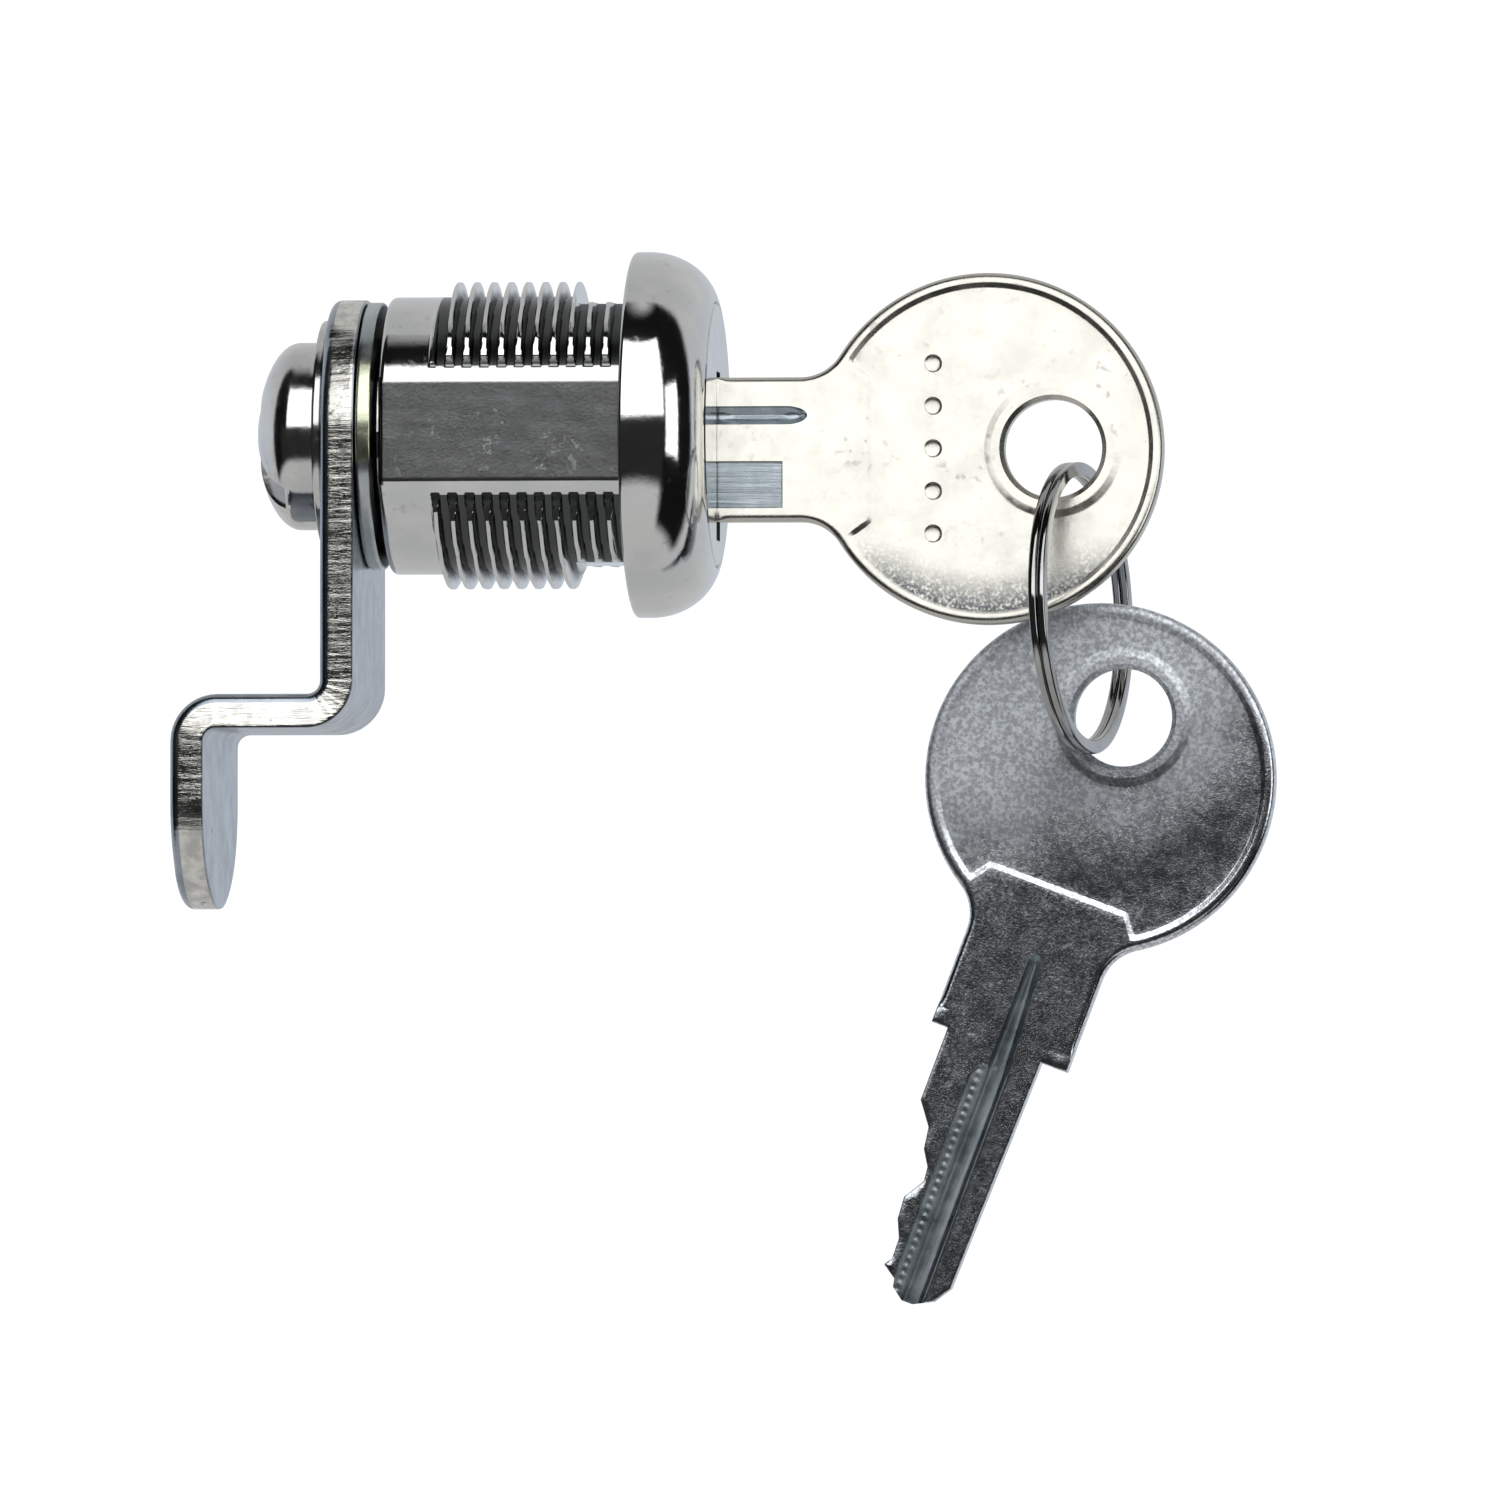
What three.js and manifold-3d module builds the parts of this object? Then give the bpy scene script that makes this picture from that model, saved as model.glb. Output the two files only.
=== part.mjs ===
// A disc-tumbler cam lock with its key in the plug, and a second key on a split ring.
// Millimetres, +Z up. The lock's axis is X and the key side faces +X. X = 0 is the
// back face of the head, which rests on the panel, and the origin is on the axis.

import * as THREE from 'three';
import { mergeVertices } from 'three/addons/utils/BufferGeometryUtils.js';
import Module from 'manifold-3d';

const wasm = await Module();
wasm.setup();

// ---------- driving dimensions ----------

const ROUND_SEGMENTS = 48; // facets of every turned surface, so that nested ones line up
const SMALL_SEGMENTS = 32; // facets of the screw and of the keys' holes
const RING_SEGMENTS = 36;
const ARC_SEGMENTS = 10; // facets of each arc in a flat outline
const FIT = 0.1; // radial running clearance
const GAP = 0.05; // gap between faces that bear on each other
const SLIP = 0.08; // side clearance of a sheet-metal part in its slot
const EDGE = 0.15; // chamfer on turned edges

// Housing: a threaded body with two long flats, and a domed head.
const BODY_RADIUS = 8.5;
const BODY_LENGTH = 15;
const BODY_FLAT = 7.94; // half the width across the long flats
const WRENCH_FLAT = 7.9; // half the height across the short flats behind the head
const WRENCH_LENGTH = 3.35;
const THREAD_PITCH = 1.06; // 24 turns to the inch
const THREAD_HEIGHT = 0.95;
const RIDGE_BASE = 0.45; // half widths of a ridge, at its sunken root and at its crest
const RIDGE_CREST = 0.16;
const RIDGE_ROOT = 0.2; // depth of the root below the body's surface
const THREAD_SIDE = 7.6; // the ridges end here, short of the long flats
const THREAD_START = -11.33;
const THREAD_END = -0.25;
const HEAD_RADIUS = 11.2;
const HEAD_HEIGHT = 5.0;
const DOME_START = 0.9; // the dome's widest circle, ahead of the head's back face
const DOME_DEPTH = 4.15;
const DOME_RISE = 3.6;
const BORE_RADIUS = 6.3;
const FACE_BORE_RADIUS = 8.15;
const FACE_BORE_FLOOR = 3.3;
const CHANNEL_HALF = 2.9; // channels above and below the bore, where the wafers lock
const CHANNEL_TOP = 7.2;
const CHANNEL_FRONT = 2.4;
const RETAINER_GROOVE_RADIUS = 7.15;
const RETAINER_GROOVE_HALF = 0.65;

// Plug: a barrel with a flange at the key side and a stub at the cam side.
const PLUG_FACE = 5.05;
const PLUG_REAR = -15.42;
const RECESS_TOP = 3.85; // the recess in the face that takes the key's shank
const RECESS_BOTTOM = -6.5;
const RECESS_SINK = 0.12; // from the key's shoulder to the recess's floor
const KEYWAY_CLEAR = 0.15;
const STUB_REAR = -18.45;
const STUB_RADIUS = 3.9;
const STUB_FLAT = 2.9;
const SCREW_HOLE_RADIUS = 2.5;
const SCREW_HOLE_FLOOR = -14.65;

// Key: x runs from the shoulder to the bow, z across it, and y through its thickness.
const KEY_THICKNESS = 1.9;
const SHANK_HALF = 4.425;
const SHANK_STRAIGHT = 6.05;
const BOW_X = 17.55;
const BOW_RADIUS = 10.75;
const BOW_RIM = 0.75;
const BOW_DISH = 0.25;
const SHIELD_X = 10.3; // the raised shank area ends here, inside the bow
const SHIELD_CORNER = 5.3; // half its height where it meets the rim
const HOLE_OFFSET = 4.0; // from the bow's centre, away from the blade
const HOLE_RADIUS = 3.0;
const HOLE_CHAMFER = 0.28;
const BOSS_RADIUS = 4.0;
const BLADE_LENGTH = 16.6;
const BLADE_TOP = 2.74; // the straight edge of the blade
const BLADE_BOTTOM = -3.37; // the cut edge, before the first cut
const FIRST_RAMP = 4.7; // from the shoulder to where the first cut begins
// The rounded end of the blade's straight edge: distance from the tip, and depth below the edge.
const TIP_ROUND = [[1.7, 0.3], [0.6, 1.0], [0, 2.2]];
const TIP_DEPTH = 4.3; // depth of the cut edge at the very tip
// Sections milled along the blade, as [from, to] across it, with depth and run beyond the shoulder.
const NARROW_GROOVE = { span: [1.55, 2.65], depth: 0.5, run: 5.2, point: 6.4 };
const MILLED_FLAT = { span: [-3.55, -0.75], depth: 0.3, run: 4.95 };
const BROAD_GROOVE = { span: [-0.8, 1.3], depth: 0.45, run: 5.5 };
const KEY_1_PLACE = new THREE.Vector3(4.1, 0, -0.95);
const KEY_2_BOW = new THREE.Vector3(28.3, 2.85, -21.05);
const KEY_2_LEAN = THREE.MathUtils.degToRad(20.7); // its blade leans this far towards -X

// The cut edge: distance from the shoulder, and depth below the shank's edge.
const CUTS = [
  [6.1, 2.1], [7.45, 2.3], [8.4, 2.9], [9.3, 3.0], [10.6, 2.2], [12.0, 2.3],
  [13.1, 2.8], [14.4, 2.85], [14.9, 2.5], [15.5, 3.4], [16.0, 3.5],
];

// Disc tumblers: flat wafers with a window for the blade, each pushed up by its spring.
const WAFER_COUNT = 5;
const WAFER_FIRST = 6.8; // from the key's shoulder
const WAFER_PITCH = 2.24;
const WAFER_THICKNESS = 0.8;
const WAFER_HALF = 2.6;
const WAFER_TOP = 5.5;
const WAFER_BOTTOM = -4.95;
const WAFER_TRAVEL = 0.6;
const WINDOW_HALF = 1.15;
const EAR_REACH = 3.85; // the side ear that stands on the spring
const EAR_BOTTOM = 0.6;
const EAR_TOP = 1.6;
const EAR_CLEAR = 0.12;
const SPRING_POCKET_HALF = 0.6;
const SPRING_Y = 3.35;
const SPRING_FLOOR = -3.2;
const WAFER_COIL = { radius: 0.5, turns: 4, wire: 0.09 }; // wire is half its thickness

// Retainer: a sprung block that keeps the plug from sliding out of the housing.
const RETAINER_X = -13.7;
const RETAINER_HALF = 1.9;
const RETAINER_BOTTOM = 3.2;
const RETAINER_RADIUS = 6.95;
const RETAINER_TRAVEL = 0.8;
const RETAINER_SPRING_FLOOR = 0.4;
const RETAINER_POCKET_HALF = 0.7;
const RETAINER_COIL = { radius: 0.6, turns: 3, wire: 0.09 };

// Stop washer: a sector is cut out of it, and the housing's lug stands in the cut.
const STOP_RADIUS = 8.2;
const STOP_THICKNESS = 0.94;
const STOP_CUT_RADIUS = 6.7;
const STOP_TURN = 90;
const LUG_WIDTH = 45;
const LUG_CENTRE = -45; // from +Y towards +Z
const LUG_SLACK = 2;
const LUG_LENGTH = 1.3;
const LUG_CLEAR = 0.2; // from the washer's cut, and in from the body's surface

// Cam: a plate with a jog in it.
const CAM_THICKNESS = 2.1;
const CAM_HALF = 8.35;
const CAM_JOG = 9.18;
const CAM_STEP_TOP = -16.0;
const CAM_TIP = -29.0;
const CAM_TIP_ROUND = 6.6;
const BEND_OUTER = 2.9;
const BEND_INNER = 0.8;

const LOCK_WASHER_RADIUS = 7.1;
const LOCK_WASHER_THICKNESS = 0.57;
const SCREW_HEAD_RADIUS = 5.75;
const SCREW_HEAD_HEIGHT = 4.0;
const SCREW_RIM = 1.4;
const SCREW_SHANK = 2.4;
const SCREW_SLOT = 1.67;
const SCREW_SLOT_DEPTH = 2.1;
const SCREW_CROSS = 3.1; // half the length of the short slot across the long one
const SCREW_HOLE = 2.7; // the lock washer's hole
const SHANK_CHAMFER = 0.2;

const RING_RADIUS = 8.93;
const RING_RADIAL = 0.85;
const RING_AXIAL = 1.05;
const RING_CENTRE = new THREE.Vector3(27.3, 0, -10.7);
const RING_TURN = THREE.MathUtils.degToRad(-13.5); // its axis, turned from +X towards -Y
const RING_LEAN = THREE.MathUtils.degToRad(-2.5); // its lowest point leans towards +X

// ---------- materials ----------

function metal(color, roughness) {
  return new THREE.MeshStandardMaterial({ color, roughness, metalness: 1 });
}

const NICKEL = metal(0xc9cacb, 0.2);
const WARM_NICKEL = metal(0xd8d4c4, 0.3);
const DULL_NICKEL = metal(0xb4b8bc, 0.4);
const CHROMATE = metal(0xb9b98a, 0.4);
const BRASS = metal(0xc8a45a, 0.35);
const SPRING_WIRE = metal(0xa8aaac, 0.3);
const DARK_STEEL = metal(0x8d8f90, 0.15);

// ---------- geometry and boolean helpers ----------

function signedVolume(position, index) {
  const [a, b, c] = [new THREE.Vector3(), new THREE.Vector3(), new THREE.Vector3()];
  let volume = 0;
  for (let i = 0; i < index.length; i += 3) {
    a.fromBufferAttribute(position, index[i]);
    b.fromBufferAttribute(position, index[i + 1]);
    c.fromBufferAttribute(position, index[i + 2]);
    volume += a.dot(b.cross(c)) / 6;
  }
  return volume;
}

// A closed geometry as a manifold solid, with its faces turned outwards.
function solid(geometry) {
  geometry.deleteAttribute('normal');
  geometry.deleteAttribute('uv');
  const merged = mergeVertices(geometry, 1e-4);
  const index = [];
  for (let i = 0; i < merged.index.count; i += 3) {
    const [a, b, c] = [0, 1, 2].map((k) => merged.index.getX(i + k));
    if (a !== b && b !== c && c !== a) index.push(a, b, c);
  }
  if (signedVolume(merged.attributes.position, index) < 0) index.reverse();
  return new wasm.Manifold(new wasm.Mesh({
    numProp: 3,
    vertProperties: merged.attributes.position.array,
    triVerts: Uint32Array.from(index),
  }));
}

function toGeometry(manifold) {
  const { vertProperties, triVerts } = manifold.getMesh();
  const geometry = new THREE.BufferGeometry();
  geometry.setAttribute('position', new THREE.BufferAttribute(vertProperties, 3));
  geometry.setIndex(new THREE.BufferAttribute(triVerts, 1));
  geometry.computeVertexNormals();
  return geometry;
}

function extrusion(shape, depth) {
  const settings = { depth, bevelEnabled: false, curveSegments: ARC_SEGMENTS };
  return new THREE.ExtrudeGeometry(shape, settings);
}

// An outline in the Y-Z plane, extruded along X.
function alongX(shape, from, to) {
  const axes = [new THREE.Vector3(0, 1, 0), new THREE.Vector3(0, 0, 1), new THREE.Vector3(1, 0, 0)];
  const turn = new THREE.Matrix4().makeBasis(...axes);
  return solid(extrusion(shape, to - from).applyMatrix4(turn).translate(from, 0, 0));
}

// An outline in the X-Z plane, extruded along Y.
function alongY(shape, from, to) {
  return solid(extrusion(shape, to - from).rotateX(Math.PI / 2).translate(0, to, 0));
}

function box([x0, x1], [y0, y1], [z0, z1]) {
  const geometry = new THREE.BoxGeometry(x1 - x0, y1 - y0, z1 - z0);
  return solid(geometry.translate((x0 + x1) / 2, (y0 + y1) / 2, (z0 + z1) / 2));
}

// A profile of [x, radius] pairs turned about the X axis.
function turned(profile, segments = ROUND_SEGMENTS) {
  const points = profile.map(([x, radius]) => new THREE.Vector2(radius, x));
  return solid(new THREE.LatheGeometry(points, segments).rotateZ(-Math.PI / 2));
}

function outline(points) {
  return new THREE.Shape(points.map(([x, y]) => new THREE.Vector2(x, y)));
}

function disc(radius) {
  return new THREE.Shape().absarc(0, 0, radius, 0, 2 * Math.PI);
}

// A disc with its top and bottom cut flat.
function doubleFlat(radius, flat) {
  const angle = Math.asin(flat / radius);
  const shape = new THREE.Shape().absarc(0, 0, radius, -angle, angle);
  return shape.absarc(0, 0, radius, Math.PI - angle, Math.PI + angle);
}

// A section, drawn as (along the axis, outwards), wound about X into a right-handed helix.
function helix(section, { start, angle, pitch, turns, radius, stepsPerTurn }) {
  const steps = Math.round(turns * stepsPerTurn);
  const geometry = new THREE.ExtrudeGeometry(section, { depth: 1, steps, bevelEnabled: false });
  const place = geometry.attributes.position;
  for (let i = 0; i < place.count; i += 1) {
    const turn = turns * place.getZ(i);
    const theta = angle + 2 * Math.PI * turn;
    const r = radius + place.getY(i);
    place.setXYZ(i, start + place.getX(i) + pitch * turn, r * Math.cos(theta), r * Math.sin(theta));
  }
  return geometry;
}

const object = new THREE.Group();

function addMesh(name, geometry, material, parent = object) {
  const mesh = new THREE.Mesh(geometry, material);
  mesh.name = name;
  parent.add(mesh);
  return mesh;
}

// ---------- housing ----------

function domeProfile() {
  const dome = [];
  const facets = 8;
  const end = Math.acos((FACE_BORE_RADIUS + FIT - HEAD_RADIUS + DOME_RISE) / DOME_RISE);
  for (let i = 0; i <= facets; i += 1) {
    const t = (end * i) / facets;
    const radius = HEAD_RADIUS - DOME_RISE + DOME_RISE * Math.cos(t);
    dome.push([DOME_START + DOME_DEPTH * Math.sin(t), radius]);
  }
  return dome;
}

function threadRidges() {
  const section = outline([
    [-RIDGE_BASE, -RIDGE_ROOT], [RIDGE_BASE, -RIDGE_ROOT],
    [RIDGE_CREST, THREAD_HEIGHT], [-RIDGE_CREST, THREAD_HEIGHT],
  ]);
  const turns = (THREAD_END - THREAD_START) / THREAD_PITCH;
  const ridges = solid(helix(section, {
    start: THREAD_START, angle: -Math.PI / 2, pitch: THREAD_PITCH, turns,
    radius: BODY_RADIUS, stepsPerTurn: 20,
  }));
  const between = box([-BODY_LENGTH, 1], [-THREAD_SIDE, THREAD_SIDE], [-10, 10]);
  return ridges.intersect(between);
}

function stopLug() {
  const [low, high] = [-0.5, 0.5].map((k) => THREE.MathUtils.degToRad(LUG_CENTRE + k * LUG_WIDTH));
  const inner = STOP_CUT_RADIUS + LUG_CLEAR;
  const shape = new THREE.Shape().absarc(0, 0, BODY_RADIUS - LUG_CLEAR, low, high);
  shape.absarc(0, 0, inner, high, low, true);
  return alongX(shape, -BODY_LENGTH - LUG_LENGTH, -BODY_LENGTH + 1);
}

function makeHousing() {
  const chamfer = 0.2;
  const core = turned([
    [-BODY_LENGTH, 0], [-BODY_LENGTH, BODY_RADIUS - chamfer],
    [-BODY_LENGTH + chamfer, BODY_RADIUS], [1, BODY_RADIUS], [1, 0],
  ]).intersect(box([-20, 2], [-BODY_FLAT, BODY_FLAT], [-10, 10]));
  let body = core.add(threadRidges());
  for (const side of [-1, 1]) {
    const span = [WRENCH_FLAT * side, 12 * side].sort((a, b) => a - b);
    body = body.subtract(box([-WRENCH_LENGTH, 1], [-12, 12], span));
  }
  const head = turned([
    [0, 0], [0, HEAD_RADIUS - EDGE], [EDGE, HEAD_RADIUS], ...domeProfile(), [HEAD_HEIGHT, 0],
  ]);
  const bore = turned([
    [-BODY_LENGTH - 1, 0], [-BODY_LENGTH - 1, BORE_RADIUS], [FACE_BORE_FLOOR, BORE_RADIUS],
    [FACE_BORE_FLOOR, FACE_BORE_RADIUS], [HEAD_HEIGHT + 1, FACE_BORE_RADIUS], [HEAD_HEIGHT + 1, 0],
  ]);
  const grooveEnds = [RETAINER_X - RETAINER_GROOVE_HALF, RETAINER_X + RETAINER_GROOVE_HALF];
  const groove = turned([
    [grooveEnds[0], 0], [grooveEnds[0], RETAINER_GROOVE_RADIUS],
    [grooveEnds[1], RETAINER_GROOVE_RADIUS], [grooveEnds[1], 0],
  ]);
  const channels = box(
    [-BODY_LENGTH - 1, CHANNEL_FRONT], [-CHANNEL_HALF, CHANNEL_HALF], [-CHANNEL_TOP, CHANNEL_TOP],
  );
  return body.add(head).subtract(bore).subtract(groove).subtract(channels).add(stopLug());
}

// ---------- plug, wafers and springs ----------

const keyEdge = KEY_1_PLACE.z - SHANK_HALF; // the shank's lower edge, in the lock
const bladeTop = KEY_1_PLACE.z + BLADE_TOP;
const bladeBottom = KEY_1_PLACE.z + BLADE_BOTTOM;
const bladeTip = KEY_1_PLACE.x - BLADE_LENGTH;

const wafers = Array.from({ length: WAFER_COUNT }, (_, i) => {
  const reach = WAFER_FIRST + WAFER_PITCH * i;
  // Every cut from here to the tip passes the window, so the shallowest one sets its sill.
  const depth = Math.min(...CUTS.filter(([along]) => along >= reach - 1).map(([, d]) => d));
  return { x: KEY_1_PLACE.x - reach, side: i % 2 ? -1 : 1, sill: keyEdge + depth - FIT };
});

function plugCuts() {
  const slotHalf = WAFER_THICKNESS / 2 + SLIP;
  const keyHalf = KEY_THICKNESS / 2 + KEYWAY_CLEAR;
  const mouth = PLUG_FACE + 1;
  const keyway = [bladeBottom - KEYWAY_CLEAR, bladeTop + KEYWAY_CLEAR];
  const blockHalf = RETAINER_HALF + FIT;
  const blockFloor = RETAINER_BOTTOM - RETAINER_TRAVEL - 2 * FIT;
  const pocketHalf = RETAINER_POCKET_HALF;
  const cuts = [
    box([bladeTip - 2 * KEYWAY_CLEAR, mouth], [-keyHalf, keyHalf], keyway),
    box([KEY_1_PLACE.x - RECESS_SINK, mouth], [-keyHalf, keyHalf], [RECESS_BOTTOM, RECESS_TOP]),
    alongX(disc(SCREW_HOLE_RADIUS), STUB_REAR - 1, SCREW_HOLE_FLOOR),
    box(
      [RETAINER_X - slotHalf, RETAINER_X + slotHalf], [-blockHalf, blockHalf],
      [blockFloor, BORE_RADIUS + 1],
    ),
    box(
      [RETAINER_X - pocketHalf, RETAINER_X + pocketHalf], [-pocketHalf, pocketHalf],
      [RETAINER_SPRING_FLOOR - GAP, RETAINER_BOTTOM + GAP],
    ),
  ];
  const slotSide = WAFER_HALF + SLIP;
  const slotEnd = BORE_RADIUS + 1;
  for (const { x, side } of wafers) {
    const pocket = [WAFER_HALF * side, (EAR_REACH + EAR_CLEAR) * side].sort((a, b) => a - b);
    const along = [x - SPRING_POCKET_HALF, x + SPRING_POCKET_HALF];
    cuts.push(box([x - slotHalf, x + slotHalf], [-slotSide, slotSide], [-slotEnd, slotEnd]));
    cuts.push(box(along, pocket, [SPRING_FLOOR - GAP, EAR_TOP + EAR_CLEAR]));
  }
  return cuts;
}

function makePlug() {
  const radius = BORE_RADIUS - FIT;
  const flange = FACE_BORE_RADIUS - FIT;
  const barrel = turned([
    [PLUG_REAR, 0], [PLUG_REAR, radius - EDGE], [PLUG_REAR + EDGE, radius],
    [FACE_BORE_FLOOR + FIT, radius], [FACE_BORE_FLOOR + FIT, flange], [PLUG_FACE - EDGE, flange],
    [PLUG_FACE, flange - EDGE], [PLUG_FACE, 0],
  ]);
  const stub = alongX(doubleFlat(STUB_RADIUS, STUB_FLAT), STUB_REAR, PLUG_REAR + 1);
  return plugCuts().reduce((plug, cut) => plug.subtract(cut), barrel.add(stub));
}

function makeWafer({ side, sill }) {
  const ear = side * EAR_REACH;
  const edge = side * WAFER_HALF;
  const shape = outline([
    [-edge, WAFER_BOTTOM], [edge, WAFER_BOTTOM], [edge, EAR_BOTTOM], [ear, EAR_BOTTOM],
    [ear, EAR_TOP], [edge, EAR_TOP], [edge, WAFER_TOP], [-edge, WAFER_TOP],
  ]);
  const lintel = bladeTop + WAFER_TRAVEL + FIT;
  const window = box([-1, 1], [-WINDOW_HALF, WINDOW_HALF], [sill, lintel]);
  return alongX(shape, -WAFER_THICKNESS / 2, WAFER_THICKNESS / 2).subtract(window);
}

function makeRetainer() {
  const angle = Math.acos(RETAINER_HALF / RETAINER_RADIUS);
  const shape = new THREE.Shape().moveTo(-RETAINER_HALF, RETAINER_BOTTOM);
  shape.lineTo(RETAINER_HALF, RETAINER_BOTTOM);
  shape.absarc(0, 0, RETAINER_RADIUS, angle, Math.PI - angle);
  return alongX(shape, -WAFER_THICKNESS / 2, WAFER_THICKNESS / 2);
}

// A coil spring of square-section wire that stands on the X-Y plane and rises along +Z.
function makeSpring(length, { radius, turns, wire }) {
  const section = outline([[-wire, -wire], [wire, -wire], [wire, wire], [-wire, wire]]);
  const geometry = helix(section, {
    start: wire, angle: 0, pitch: (length - 2 * wire) / turns, turns,
    radius: radius - wire, stepsPerTurn: 6,
  });
  return solid(geometry.rotateY(-Math.PI / 2));
}

// ---------- rear fittings ----------

const stopFront = PLUG_REAR - GAP;
const camInner = stopFront - STOP_THICKNESS - GAP;
const camOuter = camInner - CAM_THICKNESS;
const washerRear = camOuter - GAP - LOCK_WASHER_THICKNESS;
const headFront = washerRear - GAP;

function makeStopWasher() {
  const half = THREE.MathUtils.degToRad((LUG_WIDTH + STOP_TURN) / 2 + LUG_SLACK);
  const shape = new THREE.Shape().absarc(0, 0, STOP_RADIUS, half, 2 * Math.PI - half);
  shape.absarc(0, 0, STOP_CUT_RADIUS, -half, half);
  shape.holes.push(doubleFlat(STUB_RADIUS + GAP, STUB_FLAT + GAP));
  return alongX(shape, stopFront - STOP_THICKNESS, stopFront);
}

function camSide() {
  const stepBottom = CAM_STEP_TOP - CAM_THICKNESS;
  const tipInner = camInner - CAM_JOG;
  const tipOuter = tipInner - CAM_THICKNESS;
  const shape = new THREE.Shape().moveTo(camInner, CAM_HALF + 1);
  shape.lineTo(camOuter, CAM_HALF + 1);
  const quarter = Math.PI / 2;
  shape.absarc(camOuter - BEND_INNER, CAM_STEP_TOP + BEND_INNER, BEND_INNER, 0, -quarter, true);
  shape.absarc(tipOuter + BEND_OUTER, CAM_STEP_TOP - BEND_OUTER, BEND_OUTER, quarter, 2 * quarter);
  shape.lineTo(tipOuter, CAM_TIP - 1);
  shape.lineTo(tipInner, CAM_TIP - 1);
  shape.absarc(tipInner + BEND_INNER, stepBottom - BEND_INNER, BEND_INNER, 2 * quarter, quarter, true);
  shape.absarc(camInner - BEND_OUTER, stepBottom + BEND_OUTER, BEND_OUTER, -quarter, 0);
  return shape;
}

function makeCam() {
  const front = new THREE.Shape().absarc(0, 0, CAM_HALF, 0, Math.PI);
  front.absellipse(0, CAM_TIP + CAM_TIP_ROUND, CAM_HALF, CAM_TIP_ROUND, Math.PI, 2 * Math.PI);
  const plate = alongY(camSide(), -CAM_HALF - 1, CAM_HALF + 1);
  const hole = alongX(doubleFlat(STUB_RADIUS + GAP, STUB_FLAT + GAP), camOuter - 1, camInner + 1);
  return plate.intersect(alongX(front, camOuter - CAM_JOG - 1, camInner + 1)).subtract(hole);
}

function makeLockWasher() {
  const shape = disc(LOCK_WASHER_RADIUS);
  shape.holes.push(disc(SCREW_HOLE));
  return alongX(shape, washerRear, washerRear + LOCK_WASHER_THICKNESS);
}

function makeCamScrew() {
  const crown = SCREW_HEAD_HEIGHT - SCREW_RIM;
  const dome = [];
  const facets = 6;
  for (let i = 0; i <= facets; i += 1) {
    const t = (Math.PI / 2) * (i / facets);
    dome.push([headFront - SCREW_RIM - crown * Math.sin(t), SCREW_HEAD_RADIUS * Math.cos(t)]);
  }
  const tip = SCREW_HOLE_FLOOR - SHANK_CHAMFER;
  const screw = turned([
    [tip, 0], [tip, SCREW_SHANK - SHANK_CHAMFER], [tip - SHANK_CHAMFER, SCREW_SHANK],
    [headFront, SCREW_SHANK], [headFront, SCREW_HEAD_RADIUS], ...dome,
  ], SMALL_SEGMENTS);
  const half = SCREW_SLOT / 2;
  const floor = headFront - SCREW_HEAD_HEIGHT + SCREW_SLOT_DEPTH;
  const depth = [headFront - SCREW_HEAD_HEIGHT - 1, floor];
  const slot = box(depth, [-SCREW_HEAD_RADIUS - 1, SCREW_HEAD_RADIUS + 1], [-half, half]);
  const cross = box(depth, [-half, half], [-SCREW_CROSS, SCREW_CROSS]);
  return screw.subtract(slot.add(cross).rotate([45, 0, 0]));
}

// ---------- keys and split ring ----------

function keyOutline() {
  const fillet = (((BOW_X - SHANK_STRAIGHT) ** 2) / (BOW_RADIUS - SHANK_HALF)
    - BOW_RADIUS - SHANK_HALF) / 2;
  const lift = SHANK_HALF + fillet;
  const angle = Math.atan2(lift, BOW_X - SHANK_STRAIGHT);
  const shape = new THREE.Shape().moveTo(0, -SHANK_HALF);
  const quarter = Math.PI / 2;
  shape.absarc(SHANK_STRAIGHT, -lift, fillet, quarter, angle, true);
  shape.absarc(BOW_X, 0, BOW_RADIUS, -Math.PI + angle, Math.PI - angle);
  shape.absarc(SHANK_STRAIGHT, lift, fillet, -angle, -quarter, true);
  shape.lineTo(0, SHANK_HALF);
  shape.lineTo(0, BLADE_TOP);
  for (const [back, depth] of TIP_ROUND) shape.lineTo(back - BLADE_LENGTH, BLADE_TOP - depth);
  shape.lineTo(-BLADE_LENGTH, -SHANK_HALF + TIP_DEPTH);
  for (const [along, depth] of [...CUTS].reverse()) shape.lineTo(-along, -SHANK_HALF + depth);
  shape.lineTo(-FIRST_RAMP, BLADE_BOTTOM);
  shape.lineTo(0, BLADE_BOTTOM);
  return shape;
}

// The dished field of the bow: a round field, cut straight where the shank runs into it.
function dishOutline() {
  const radius = BOW_RADIUS - BOW_RIM;
  const corner = Math.PI - Math.asin(SHIELD_CORNER / radius);
  const shape = new THREE.Shape().absarc(BOW_X, 0, radius, -corner, corner);
  shape.lineTo(SHIELD_X, SHANK_HALF);
  shape.lineTo(SHIELD_X, -SHANK_HALF);
  return shape;
}

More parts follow.
